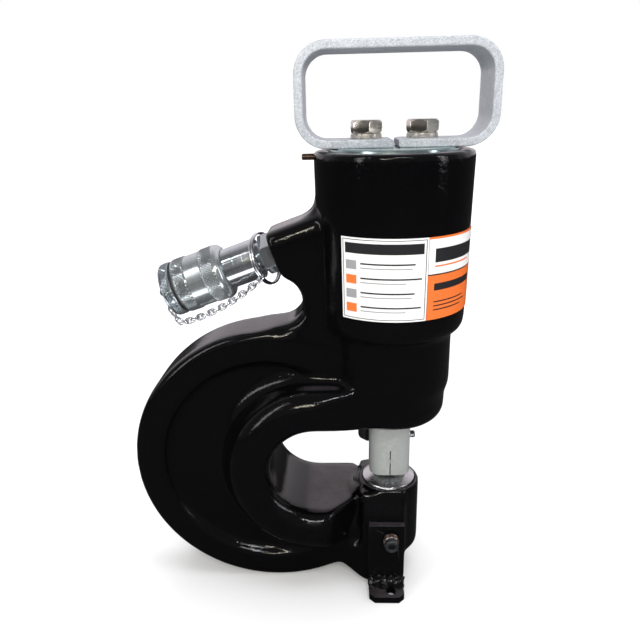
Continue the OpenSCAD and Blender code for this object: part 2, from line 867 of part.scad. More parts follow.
module carry_handle() {
    mid_z = cap_top_z + handle_h / 2;
    color("#c9cdd1")
        difference() {
            at_z(mid_z)
                rotate([90, 0, 0])
                    linear_extrude(height = bar_w, center = true)
                        difference() {
                            rounded_rect(handle_w, handle_h, handle_round);
                            rounded_rect(handle_w - 2 * bar_t, handle_h - 2 * bar_t, handle_round - bar_t);
                            translate([-bar_gap / 2, -handle_h / 2 - over]) square([bar_gap, bar_t + 2 * over]);
                        }
            for (side = [-1, 1])
                translate([side * bolt_x, 0, cap_top_z - over])
                    cylinder(h = bar_t + 2 * over, r = bolt_r + clear);
        }
}

module handle_bolt() {
    head_z = cap_top_z + bar_t + washer_h;
    at_z(cap_top_z - bolt_grip) turned(bolt_r, head_z - cap_top_z + bolt_grip + over);
    at_z(head_z)
        intersection() {
            hex_prism(bolt_flats, bolt_head_h);
            turned(bolt_flats / 2 / cos(30) + fit, bolt_head_h, small_chamfer * 2);
        }
}

module handle_bolts() {
    color("#c4c0ac")
        for (side = [-1, 1])
            translate([side * bolt_x, 0, 0])
                rotate([0, 0, bolt_turn])
                    handle_bolt();
}

module handle_washers() {
    washer_r = bolt_flats / 2 + small_chamfer;
    color("#9ea2a4")
        for (side = [-1, 1])
            translate([side * bolt_x, 0, cap_top_z + bar_t])
                difference() {
                    ring(washer_r, bolt_r + clear, washer_h);
                    translate([0, -slit_w / 2, -over]) cube([washer_r + over, slit_w, washer_h + 2 * over]);
                }
}

module piston() {
    color("#8d9399")
        difference() {
            at_z(piston_base_z) turned(bore_r - fit, piston_h);
            at_z(piston_seal_z) seal_groove(bore_r - fit, piston_seal_w, piston_seal_h);
            at_z(wear_z) seal_groove(bore_r - fit, wear_w, piston_seal_h);
            at_z(piston_base_z - over) cylinder(h = piston_h / 2 + over, r = rod_r + fit);
        }
}

module piston_seal() {
    color("#303437")
        at_z(piston_seal_z + fit)
            ring(bore_r - fit, bore_r - piston_seal_w, piston_seal_h - 2 * fit);
}

module piston_wear_band() {
    color("#7a5b34")
        at_z(wear_z + fit)
            ring(bore_r - fit, bore_r - wear_w, piston_seal_h - 2 * fit);
}

module ram_rod() {
    color("#a4a9ad")
        difference() {
            union() {
                at_z(rod_end_z) turned(rod_r, piston_base_z + piston_h / 2 - rod_end_z);
                at_z(rod_step_z) turned(rod_big_r, piston_base_z - rod_step_z);
            }
            at_z(rod_end_z - over) cylinder(h = punch_shank_h + 2 * over, r = punch_shank_r + fit);
        }
}

// One ring of points of a wound wire, at angle a and height z of its centre
function wire_ring(mean_r, wire_r, a, z) = [
    for (k = [0 : wire_sides - 1])
        let (turn = 360 * k / wire_sides, out = mean_r + wire_r * cos(turn))
            [out * cos(a), out * sin(a), z + wire_r * sin(turn)]
];

// Wound spring between two flat seats, its wire resting on both
module wound_spring(mean_r, wire_r, turns, length) {
    rings = turns * wire_rings;
    rise = length - 2 * wire_r;
    points = [
        for (i = [0 : rings])
            each wire_ring(mean_r, wire_r, 360 * i / wire_rings, wire_r + rise * i / rings)
    ];
    sides = [
        for (i = [0 : rings - 1], k = [0 : wire_sides - 1])
            let (next = (k + 1) % wire_sides, a = i * wire_sides, b = a + wire_sides)
                each [[a + k, b + k, b + next], [a + k, b + next, a + next]]
    ];
    first = [for (k = [1 : wire_sides - 2]) [0, k, k + 1]];
    last_at = rings * wire_sides;
    last = [for (k = [1 : wire_sides - 2]) [last_at, last_at + k + 1, last_at + k]];
    echo(least_gap_of_turns = rise / turns - 2 * wire_r);
    polyhedron(points = points, faces = concat(sides, first, last));
}

module return_spring() {
    color("#55595c")
        at_z(spring_floor_z)
            wound_spring(spring_mean_r, spring_wire_r, spring_turns, piston_base_z - spring_floor_z - fit);
}

module rod_bush() {
    color("#a67c3d")
        at_z(bush_base_z)
            difference() {
                turned(bush_r, bush_h);
                at_z(-over) cylinder(h = bush_h + 2 * over, r = rod_r + fit);
                at_z(-over) cylinder(h = wiper_h + over, r = rod_r + wiper_w);
            }
}

module rod_wiper() {
    color("#26282a")
        at_z(bush_base_z) ring(rod_r + wiper_w - fit, rod_r + fit, wiper_h - fit);
}

module punch() {
    pilot_r = punch_r / 5;
    color("#9aa0a6") {
        at_z(punch_tip_z)
            rotate_extrude()
                polygon([
                    [0, -pilot_r], [pilot_r, 0], [punch_r, 0], [punch_r, punch_h], [punch_shank_r, punch_h],
                    [punch_shank_r, punch_h + punch_shank_h], [0, punch_h + punch_shank_h]
                ]);
    }
}

module guide_tube() {
    color("#83888c")
        difference() {
            union() {
                at_z(tube_base_z) cylinder(h = tube_seat_z - tube_base_z + over, r = tube_r);
                at_z(tube_seat_z) cylinder(h = tube_flange_h, r = tube_flange_r);
            }
            at_z(tube_base_z - over)
                cylinder(h = bush_base_z - tube_base_z + 2 * over, r = rod_r + fit);
        }
}

// Turns local +Z to the clamp knob's axis, which leaves the sleeve's corner at the back left
module on_knob(along = 0) {
    at_z(knob_z)
        rotate([0, 90, 135])
            at_z(along)
                children();
}

module stripper_sleeve() {
    lip_r = punch_r + 2 * clear;
    color("#aab0b0")
        difference() {
            at_z(sleeve_z)
                linear_extrude(height = sleeve_h)
                    rounded_rect(2 * sleeve_half, 2 * sleeve_half, sleeve_round);
            at_z(sleeve_z + lip_h) cylinder(h = sleeve_h, r = tube_r + fit);
            at_z(sleeve_z - over) cylinder(h = lip_h + 2 * over, r = lip_r);
            translate([-slit_w / 2, -sleeve_half - over, sleeve_z - over])
                cube([slit_w, sleeve_half + over, slit_h + over]);
            on_knob() cylinder(h = 2 * sleeve_half, r = knob_screw_r + fit);
            at_z(stop_z)
                rotate([0, 90, 0])
                    cylinder(h = 2 * sleeve_half, r = stop_r / 2 + fit);
        }
}

module stripper_stop_screw() {
    head_h = stop_head_share * stop_r;
    color("#c3c7ca")
        translate([0, 0, stop_z])
            rotate([0, 90, 0])
                difference() {
                    union() {
                        at_z(tube_r + clear) cylinder(h = sleeve_half - tube_r, r = stop_r / 2);
                        at_z(sleeve_half) turned(stop_r, head_h, stop_r / 4);
                    }
                    at_z(sleeve_half + head_h / 2) hex_prism(stop_r, head_h);
                }
}

module stripper_knob() {
    grooves = 20;
    groove_r = knob_r * PI / grooves / 3;
    color("#1b1b1d")
        on_knob() {
            at_z(tube_r + clear) cylinder(h = knob_seat - tube_r, r = knob_screw_r);
            at_z(knob_seat)
                difference() {
                    turned(knob_r, knob_h);
                    for (i = [0 : grooves - 1])
                        rotate([0, 0, 360 * i / grooves])
                            translate([knob_r, 0, -over])
                                cylinder(h = knob_h + 2 * over, r = groove_r, $fn = 24);
                    at_z(knob_h / 2) hex_prism(knob_r, knob_h);
                }
        }
}

module die() {
    color("#c8cbce")
        at_z(die_base_z)
            difference() {
                rotate_extrude()
                    polygon([
                        [0, 0], [die_r - small_chamfer, 0], [die_r, small_chamfer],
                        [die_r, die_h - die_slope_h], [die_crown_r, die_h], [0, die_h]
                    ]);
                at_z(-over) cylinder(h = die_h + 2 * over, r = die_hole_r);
                at_z(-over) cylinder(h = die_h - die_land_h + over, r = die_hole_r + die_relief);
            }
}

// Screw along +Y with a hexagon socket at its outer end
module socket_screw(r, h) {
    socket_h = r;
    difference() {
        turned(r, h, small_chamfer);
        at_z(-over) hex_prism(r, socket_h + over);
    }
}

module die_screw() {
    length = bracket_y + die_screw_out - die_r - clear;
    color("#3a302c")
        translate([0, -bracket_y - die_screw_out, die_screw_z])
            rotate([-90, 0, 0])
                socket_screw(die_screw_r, length);
}

module back_bracket_screw() {
    length = die_screw_out + foot_t + back_screw_h - clear;
    color("#3a302c")
        translate([0, bracket_y + die_screw_out, die_screw_z])
            rotate([90, 0, 0])
                socket_screw(die_screw_r, length);
}

module foot_plan() {
    polygon([
        [-foot_back_w, boss_half], [-foot_back_w, foot_reach - foot_corner],
        [-foot_back_w + foot_corner, foot_reach], [foot_front_w - foot_corner, foot_reach],
        [foot_front_w, foot_reach - foot_corner], [foot_front_w, boss_half]
    ]);
}

module foot_bracket() {
    difference() {
        union() {
            linear_extrude(height = foot_t) foot_plan();
            translate([-foot_back_w, boss_half, 0]) cube([foot_w, foot_t, foot_top_z]);
            translate([-foot_back_w, bracket_y, foot_t])
                rotate([90, 0, 90])
                    linear_extrude(height = foot_w)
                        polygon([[0, 0], [weld_leg, 0], [0, weld_leg]]);
        }
        translate([0, foot_hole_y, -over]) cylinder(h = foot_t + weld_leg + 2 * over, r = foot_hole_r);
        translate([0, boss_half - over, die_screw_z])
            rotate([-90, 0, 0])
                cylinder(h = foot_t + 2 * over, r = die_screw_r + clear);
    }
}

module foot_bracket_front() {
    color("#18181a") mirror([0, 1, 0]) foot_bracket();
}

module foot_bracket_back() {
    color("#18181a") foot_bracket();
}

// Thin label on the drafted barrel between two angles from the front
module label_panel(from, to) {
    inner = barrel_at(label_z) + fit;
    upper = barrel_at(label_z + label_h) + fit;
    rotate([0, 0, from - 90])
        rotate_extrude(angle = to - from)
            polygon([
                [inner, label_z], [inner + label_t, label_z], [upper + label_t, label_z + label_h],
                [upper, label_z + label_h]
            ]);
}

module plain_label() {
    color("#f2f2f0") label_panel(label_from_angle, label_split_angle);
}

module colour_label() {
    color("#f0641e") label_panel(label_split_angle + label_gap_angle, label_to_angle);
}

module port_adapter() {
    spigot_h = valve_floor - coupler_start;
    color("#c5cacd")
        on_port()
            difference() {
                union() {
                    at_z(-port_thread_h + over) cylinder(h = port_thread_h, r = port_thread_r);
                    intersection() {
                        hex_prism(adapter_flats, adapter_h);
                        turned(adapter_corner_r + fit, adapter_h);
                    }
                    at_z(adapter_h - over)
                        cylinder(h = coupler_start - adapter_h + over, r = port_thread_r + small_chamfer * 2);
                    at_z(coupler_start - over) cylinder(h = spigot_h, r = port_thread_r);
                }
                at_z(-port_thread_h) cylinder(h = port_thread_h + valve_floor, r = oil_r);
            }
}

module coupler_body() {
    color("#cfd3d5")
        on_port()
            difference() {
                union() {
                    at_z(coupler_start) turned(coupler_r, collar_start - clear - coupler_start);
                    at_z(coupler_start + over) turned(land_r, coupler_end - coupler_start - over);
                }
                at_z(coupler_start - over)
                    cylinder(h = port_thread_h + over, r = port_thread_r + fit);
                at_z(valve_floor - over) cylinder(h = valve_seat - valve_floor + over, r = valve_bore_r);
                at_z(valve_seat - over)
                    cylinder(h = coupler_end - valve_seat + 2 * over, r = poppet_r + clear);
                at_z(retainer_start) seal_groove(land_r, retainer_h / 2, retainer_h);
                at_z(body_seal_start) seal_groove(land_r, body_seal_w, body_seal_h);
            }
}

module coupler_seal() {
    color("#242628")
        on_port(body_seal_start + fit / 2)
            ring(land_r + body_seal_w / 2, land_r - body_seal_w + fit, body_seal_h - fit);
}

module collar_retainer() {
    color("#6d7174")
        on_port(retainer_start + fit / 2)
            difference() {
                ring(collar_bore_r - clear, land_r - retainer_h / 2 + fit, retainer_h - fit);
                translate([0, -retainer_h / 2, -over])
                    cube([collar_bore_r, retainer_h, retainer_h + 2 * over]);
            }
}

module coupler_collar() {
    waist_r = collar_r - waist_depth;
    waist_h = collar_h - collar_round - 2 * knurl_h;
    color("#b4b9ba")
        on_port(collar_start)
            difference() {
                rotate_extrude() {
                    translate([0, collar_round]) square([collar_r, knurl_h]);
                    translate([0, collar_round + knurl_h]) square([waist_r, waist_h]);
                    translate([0, collar_h - knurl_h]) {
                        square([collar_r, knurl_h - small_chamfer]);
                        square([collar_r - small_chamfer, knurl_h]);
                    }
                    square([collar_r - collar_round, collar_round]);
                    intersection() {
                        translate([collar_r - collar_round, collar_round]) circle(collar_round);
                        square([collar_r, collar_round]);
                    }
                }
                at_z(-over) cylinder(h = collar_h + 2 * over, r = land_r + fit);
                at_z(collar_grip) cylinder(h = collar_h, r = collar_bore_r);
            }
}

module valve_poppet() {
    color("#c2a45c")
        on_port() {
            at_z(valve_seat - poppet_flange_h - clear) cylinder(h = poppet_flange_h, r = poppet_flange_r);
            at_z(valve_seat - clear - over)
                turned(poppet_r, coupler_end - valve_seat - retainer_h, poppet_r / 3);
            at_z(valve_seat - clear - poppet_flange_h - 2 * poppet_travel)
                cylinder(h = 2 * poppet_travel + over, r = poppet_stem_r);
        }
}

module valve_plug() {
    color("#8b8f92")
        on_port(valve_floor - over)
            ring(valve_bore_r - fit, oil_r, plug_ring_h);
}

module valve_spring() {
    start = valve_floor - over + plug_ring_h;
    color("#7c8082")
        on_port(start)
            wound_spring(
                valve_bore_r - 3 * valve_wire_r, valve_wire_r, valve_turns,
                valve_seat - poppet_flange_h - clear - start - fit
            );
}

module dust_cap() {
    recess_r = poppet_r + 2 * retainer_h;
    color("#aab4bb")
        on_port(cap_start)
            difference() {
                union() {
                    turned(dust_cap_r, dust_cap_h);
                    at_z(-plug_h) cylinder(h = plug_h + over, r = collar_bore_r - clear);
                }
                at_z(-plug_h - over) cylinder(h = plug_h + over, r = recess_r);
                at_z(dust_cap_h - rivet_h / 2) cylinder(h = rivet_h, r = rivet_r + fit);
            }
}

module cap_seal() {
    color("#1f2123")
        on_port(cap_start - cap_gap + clear)
            ring(dust_cap_r - small_chamfer, collar_bore_r - clear + fit, cap_gap - clear - fit);
}

// Rivet that swivels in the dust cap, with an eye for the last link
module cap_rivet() {
    color("#b8bec2")
        on_port() {
            at_z(cap_end - rivet_h / 2 + fit) cylinder(h = rivet_h, r = rivet_r);
            at_z(eye_at)
                rotate([90, 0, 0])
                    rotate_extrude()
                        translate([eye_r, 0]) circle(eye_wire_r, $fn = 24);
        }
}

// The ring hangs from the port adapter's hexagon
module chain_ring() {
    color("#c0c5c8")
        on_port(ring_at)
            translate([-ring_drop, 0, 0])
                rotate_extrude()
                    translate([ring_r, 0]) circle(ring_wire_r, $fn = 32);
}

// A sagging run under the collar, then a short rise to the rivet's eye
function chain_point(t) =
    t < hang_share
        ? let (s = t / hang_share) lerp(chain_from, chain_low, s) - [4 * chain_sag * s * (1 - s), 0, 0]
        : let (s = (t - hang_share) / (1 - hang_share))
            lerp(lerp(chain_low, chain_turn, s), lerp(chain_turn, chain_to, s), s);

route = [for (i = [0 : route_steps]) chain_point(i / route_steps)];
steps = [for (i = [1 : route_steps]) norm(route[i] - route[i - 1])];
function walked(i) = i == 0 ? 0 : walked(i - 1) + steps[i - 1];
reached = [for (i = [0 : route_steps]) walked(i)];
route_length = reached[route_steps];
link_count = floor(route_length / (link_hole - clear));
link_pitch = route_length / link_count;

// Point of the route at a given distance from its start
function route_at(distance) =
    let (
        past = [for (i = [1 : route_steps]) if (reached[i] >= distance || i == route_steps) i],
        i = past[0],
        share = (distance - reached[i - 1]) / steps[i - 1]
    ) lerp(route[i - 1], route[i], share);

function unit(v) = v / norm(v);

// Normals of the first and last link: along the ring's wire and along the eye's wire
first_normal = [sin(ring_turn), -cos(ring_turn), 0];
last_normal = link_count % 2 == 0 ? [0, -1, 0] : [0, 0, 1];

// Places local +X along the heading of one link, every second link turned a quarter
module on_link(i) {
    from = route_at(link_pitch * i);
    to = route_at(link_pitch * (i + 1));
    x = unit(to - from);
    aim = lerp(first_normal, last_normal, i / (link_count - 1));
    flat = unit(aim - x * (aim * x));
    z = i % 2 == 0 ? flat : cross(x, flat);
    y = cross(z, x);
    mid = (from + to) / 2;
    multmatrix([
        [x[0], y[0], z[0], mid[0]], [x[1], y[1], z[1], mid[1]], [x[2], y[2], z[2], mid[2]], [0, 0, 0, 1]
    ])
        children();
}

// Link in the plane of X and Y, long along X, with ends of mean radius r
module chain_link(r) {
    straight = (link_pitch + clear) / 2 - r + link_wire_r;
    for (side = [0, 1])
        mirror([side, 0, 0]) {
            translate([straight, 0, 0])
                rotate([0, 0, -90])
                    rotate_extrude(angle = 180)
                        translate([r, 0]) circle(link_wire_r, $fn = 24);
            for (leg = [-1, 1])
                translate([0, leg * r, 0])
                    rotate([0, 90, 0])
                        cylinder(h = straight, r = link_wire_r, $fn = 24);
        }
}

module cap_chain() {
    color("#c6cbd2")
        on_port() {
            on_link(0) chain_link(ring_wire_r + link_wire_r + clear);
            for (i = [1 : link_count - 1])
                on_link(i) chain_link(link_r);
        }
}

c_frame();
end_cap();
cap_o_ring();
cap_lock_pin();
carry_handle();
handle_bolts();
handle_washers();
piston();
piston_seal();
piston_wear_band();
ram_rod();
return_spring();
rod_bush();
rod_wiper();
punch();
guide_tube();
stripper_sleeve();
stripper_stop_screw();
stripper_knob();
die();
die_screw();
foot_bracket_front();
foot_bracket_back();
back_bracket_screw();
plain_label();
colour_label();
port_adapter();
coupler_body();
coupler_collar();
collar_retainer();
coupler_seal();
valve_poppet();
valve_spring();
valve_plug();
dust_cap();
cap_seal();
cap_rivet();
chain_ring();
cap_chain();
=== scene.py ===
"""Looks of a portable hydraulic hole punch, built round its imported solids.

Everything lies in the frame of the solids: +Z up along the punch axis, +X out of the
open throat, the viewer at -Y. Sizes are written in millimetres and turned to metres by MM.
"""
import json
import logging
import math
from dataclasses import dataclass
from enum import Enum
from typing import Callable, Optional, Sequence, Union

import bmesh
import bpy
import numpy as np
from mathutils import Matrix, Vector

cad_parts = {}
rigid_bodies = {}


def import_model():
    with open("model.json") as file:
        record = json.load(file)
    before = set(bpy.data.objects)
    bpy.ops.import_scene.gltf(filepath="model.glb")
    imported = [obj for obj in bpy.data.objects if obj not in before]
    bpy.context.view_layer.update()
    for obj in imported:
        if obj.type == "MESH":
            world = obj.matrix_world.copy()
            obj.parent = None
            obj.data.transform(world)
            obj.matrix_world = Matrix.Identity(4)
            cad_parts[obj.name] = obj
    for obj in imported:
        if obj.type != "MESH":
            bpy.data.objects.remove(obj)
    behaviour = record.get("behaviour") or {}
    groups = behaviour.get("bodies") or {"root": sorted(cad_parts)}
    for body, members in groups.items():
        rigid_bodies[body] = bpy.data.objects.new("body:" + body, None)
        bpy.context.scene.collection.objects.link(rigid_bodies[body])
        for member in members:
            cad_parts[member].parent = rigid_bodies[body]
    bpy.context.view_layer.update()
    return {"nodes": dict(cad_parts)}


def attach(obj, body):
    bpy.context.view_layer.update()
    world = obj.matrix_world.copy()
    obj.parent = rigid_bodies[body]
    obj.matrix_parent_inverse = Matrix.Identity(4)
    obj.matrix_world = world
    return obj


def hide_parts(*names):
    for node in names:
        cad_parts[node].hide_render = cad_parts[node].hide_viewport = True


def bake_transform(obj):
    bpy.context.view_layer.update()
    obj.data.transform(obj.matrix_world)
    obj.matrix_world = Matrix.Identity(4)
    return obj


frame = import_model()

MM = 0.001
LOG = logging.getLogger("hole_punch")

# Points nearer than this, in metres, are taken as one.
WELD_GAP = 1e-7
CAD_WELD_GAP = 2e-7
# Direction that no wire starts along.
OFF_AXIS = (0.13, 0.71, 0.69)
# How close tool lines lie: round and up a drawn skin, out and up a turned face, along the coupler.
DRAWN_LINES = (16.0, 9.0)
TURNED_LINES = 2600.0
COUPLER_LINES = 1500.0

Color = tuple[float, float, float]
Row = tuple[float, float]
Skin = tuple[np.ndarray, list]
Relief = Callable[[np.ndarray, float], np.ndarray]
Socket = bpy.types.NodeSocket
Value = Union[float, Socket]


class Body(str, Enum):
    """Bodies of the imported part."""

    FRAME = "frame"
    RAM = "ram"
    STRIPPER = "stripper"
    KNOB = "knob"
    DIE_SCREW = "die_screw"
    COLLAR = "collar"
    POPPET = "poppet"
    CAP_SWIVEL = "cap_swivel"
    DUST_CAP = "dust_cap"


class Slot(str, Enum):
    """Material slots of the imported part."""

    BLACK_PAINT = "black_paint"
    BRACKET_PAINT = "bracket_paint"
    ZINC_CAP = "zinc_cap"
    ZINC_HANDLE = "zinc_handle"
    ZINC_BOLT = "zinc_bolt"
    WASHER_STEEL = "washer_steel"
    GROUND_STEEL = "ground_steel"
    DIE_STEEL = "die_steel"
    SATIN_GREY = "satin_grey"
    KNOB_BLACK = "knob_black"
    BRONZE = "bronze"
    GUIDE_RESIN = "guide_resin"
    SEAL_RUBBER = "seal_rubber"
    SPRING_STEEL = "spring_steel"
    LABEL_WHITE = "label_white"
    LABEL_ORANGE = "label_orange"
    ZINC_COUPLER = "zinc_coupler"
    ZINC_COLLAR = "zinc_collar"
    ZINC_DUST_CAP = "zinc_dust_cap"
    CHAIN_ZINC = "chain_zinc"
    SCREW_DARK = "screw_dark"
    PIN_BROWN = "pin_brown"


class Effect(str, Enum):
    """Shader node groups that several finishes share."""

    GRAIN = "surface_grain"
    WEAR = "edge_wear"
    LINES = "turned_lines"
    SPANGLE = "zinc_spangle"
    DUST = "settled_dust"
    FIELD = "printed_field"
    VALLEY = "soiled_valleys"


class Lay(str, Enum):
    """Direction in which a metal was brushed, turned or drawn."""

    UPRIGHT = "upright"
    ROUND_Z = "round_z"
    ALONG_COUPLER = "along_coupler"
    NONE = "none"


Finishes = dict[Slot, bpy.types.Material]


# Meshes

def shade(mesh: bpy.types.Mesh, angle: float = 35.0) -> bpy.types.Mesh:
    """Shades a mesh smooth, with sharp edges above an angle in degrees.

    Args:
        mesh: Mesh to shade.
        angle: Least angle of a sharp edge.

    Returns:
        The same mesh.
    """
    mesh.polygons.foreach_set("use_smooth", [True] * len(mesh.polygons))
    mesh.set_sharp_from_angle(angle=math.radians(angle))
    mesh.update()
    return mesh


def new_object(name: str, mesh: bpy.types.Mesh) -> bpy.types.Object:
    """Links a new object that shows a mesh.

    Args:
        name: Name of the object.
        mesh: Mesh that it shows.

    Returns:
        The object.
    """
    obj = bpy.data.objects.new(name, mesh)
    bpy.context.scene.collection.objects.link(obj)
    return obj


def solid(
    name: str, points: np.ndarray, faces: Sequence[Sequence[int]], angle: float = 35.0
) -> bpy.types.Object:
    """Makes a closed object from points and faces, with welded points and outward faces.

    Args:
        name: Name of the object.
        points: Points in metres.
        faces: Corner numbers of each face.
        angle: Least angle of a sharp edge, in degrees.

    Returns:
        The object.
    """
    mesh = bpy.data.meshes.new(name)
    mesh.from_pydata([tuple(p) for p in points], [], [tuple(f) for f in faces])
    bm = bmesh.new()
    bm.from_mesh(mesh)
    bmesh.ops.remove_doubles(bm, verts=bm.verts, dist=WELD_GAP)
    bmesh.ops.recalc_face_normals(bm, faces=bm.faces)
    bm.to_mesh(mesh)
    bm.free()
    return new_object(name, shade(mesh, angle))


def grid_faces(rows: int, columns: int, rows_meet: bool) -> list[tuple[int, ...]]:
    """Faces of a grid of points whose columns run round and meet.

    Args:
        rows: Number of rows.
        columns: Points in one row.
        rows_meet: Whether the last row joins the first.

    Returns:
        Quads of point numbers.
    """
    quads = []
    for i in range(rows if rows_meet else rows - 1):
        a, b = i * columns, (i + 1) % rows * columns
        for j in range(columns):
            k = (j + 1) % columns
            quads.append((a + j, a + k, b + k, b + j))
    return quads


def end_faces(rows: int, columns: int) -> list[tuple[int, ...]]:
    """Faces that close the first and the last row of a grid of rings.

    Args:
        rows: Number of rows.
        columns: Points in one row.

    Returns:
        Two faces of point numbers.
    """
    count = rows * columns
    return [tuple(range(columns)), tuple(range(count - 1, count - columns - 1, -1))]


def lathe(
    name: str,
    rows: Sequence[Row],
    columns: int = 96,
    place: Optional[Matrix] = None,
    relief: Optional[Relief] = None,
    ring: bool = True,
    angle: float = 35.0,
) -> bpy.types.Object:
    """Turns a profile about local Z.

    Args:
        name: Name of the object.
        rows: Radius and height of each profile point, in millimetres.
        columns: Points in one turn.
        place: Matrix that sets the piece in the frame of the solids.
        relief: Gives the height of a surface pattern at angles and a height.
        ring: Whether the profile closes on itself, clear of the axis.
        angle: Least angle of a sharp edge, in degrees.

    Returns:
        The object.
    """
    turn = np.linspace(0, 2 * math.pi, columns, endpoint=False)
    points = []
    for r, z in rows:
        radius = np.full(columns, r, float)
        if relief is not None:
            radius = radius + relief(turn, z)
        points.append(np.stack([radius * np.cos(turn), radius * np.sin(turn), np.full(columns, z)], axis=1))
    cloud = np.concatenate(points) * MM
    obj = solid(name, cloud, grid_faces(len(rows), columns, ring), angle)
    if place is not None:
        obj.data.transform(place)
    return obj


def tube_points(path: np.ndarray, radius: Union[float, np.ndarray], sides: int, closed: bool) -> Skin:
    """Skin of a round wire along a path.

    Args:
        path: Points of the path, in millimetres.
        radius: Radius of the wire, or one radius for each point.
        sides: Sides of the wire.
        closed: Whether the path is a loop.

    Returns:
        Points in millimetres and faces.
    """
    count = len(path)
    radii = np.broadcast_to(np.asarray(radius, float), (count,))
    if closed:
        heading = np.roll(path, -1, 0) - np.roll(path, 1, 0)
    else:
        heading = np.gradient(path, axis=0)
    heading = heading / np.linalg.norm(heading, axis=1)[:, None]
    side = np.cross(heading[0], OFF_AXIS)
    points = []
    turn = np.linspace(0, 2 * math.pi, sides, endpoint=False)
    for p, h, r in zip(path, heading, radii):
        side = side - h * np.dot(side, h)
        side = side / np.linalg.norm(side)
        other = np.cross(h, side)
        points.append(p + r * (np.cos(turn)[:, None] * side + np.sin(turn)[:, None] * other))
    faces = grid_faces(count, sides, False)
    if closed:
        gap = np.linalg.norm(points[0][None] - points[-1][:, None], axis=2)
        shift = int(np.argmin([np.trace(np.roll(gap, -k, 1)) for k in range(sides)]))
        last = (count - 1) * sides
        for j in range(sides):
            k = (j + 1) % sides
            faces.append((last + j, last + k, (k + shift) % sides, (j + shift) % sides))
    else:
        faces += end_faces(count, sides)
    return np.concatenate(points), faces


def join_skins(skins: Sequence[Skin]) -> Skin:
    """Joins several skins to one set of points and faces.

    Args:
        skins: Points and faces of each skin.

    Returns:
        All points and all faces.
    """
    points, faces, first = [], [], 0
    for cloud, quads in skins:
        points.append(cloud)
        faces.extend(tuple(first + i for i in quad) for quad in quads)
        first += len(cloud)
    return np.concatenate(points), faces


def moved(place: Matrix, points: np.ndarray) -> np.ndarray:
    """Points in millimetres of a local frame, set in the frame of the solids in metres."""
    turn = np.array(place.to_3x3())
    return points * MM @ turn.T + np.array(place.translation)


def cad_copy(node: str) -> bmesh.types.BMesh:
    """Editable copy of a CAD solid, with its points joined.

    Args:
        node: Name of the CAD node.

    Returns:
        The copy.
    """
    bm = bmesh.new()
    bm.from_mesh(frame["nodes"][node].data)
    bmesh.ops.remove_doubles(bm, verts=bm.verts, dist=CAD_WELD_GAP)
    return bm


def applied(obj: bpy.types.Object) -> bpy.types.Mesh:
    """New mesh of an object with its modifiers applied."""
    return bpy.data.meshes.new_from_object(obj.evaluated_get(bpy.context.evaluated_depsgraph_get()))


def eased_copy(node: str, width: float, steps: int, angle: float = 32.0) -> bpy.types.Object:
    """Copy of a CAD solid whose sharp edges are rounded.

    Args:
        node: Name of the CAD node.
        width: Width of the rounding, in millimetres.
        steps: Facets of the rounding.
        angle: Least angle of an edge that is rounded, in degrees.

    Returns:
        The new object.
    """
    mesh = bpy.data.meshes.new(node + "_eased")
    bm = cad_copy(node)
    bmesh.ops.dissolve_limit(bm, angle_limit=math.radians(0.4), verts=bm.verts, edges=bm.edges)
    limit = math.radians(angle)
    sharp = [e for e in bm.edges if len(e.link_faces) == 2 and e.calc_face_angle() > limit]
    bmesh.ops.bevel(
        bm, geom=sharp, offset=width * MM, offset_type="OFFSET", segments=steps, profile=0.6,
        affect="EDGES", clamp_overlap=True,
    )
    bmesh.ops.triangulate(bm, faces=[f for f in bm.faces if len(f.verts) > 4])
    bm.to_mesh(mesh)
    bm.free()
    return new_object(node + "_eased", shade(mesh, 40.0))


# Shader nodes

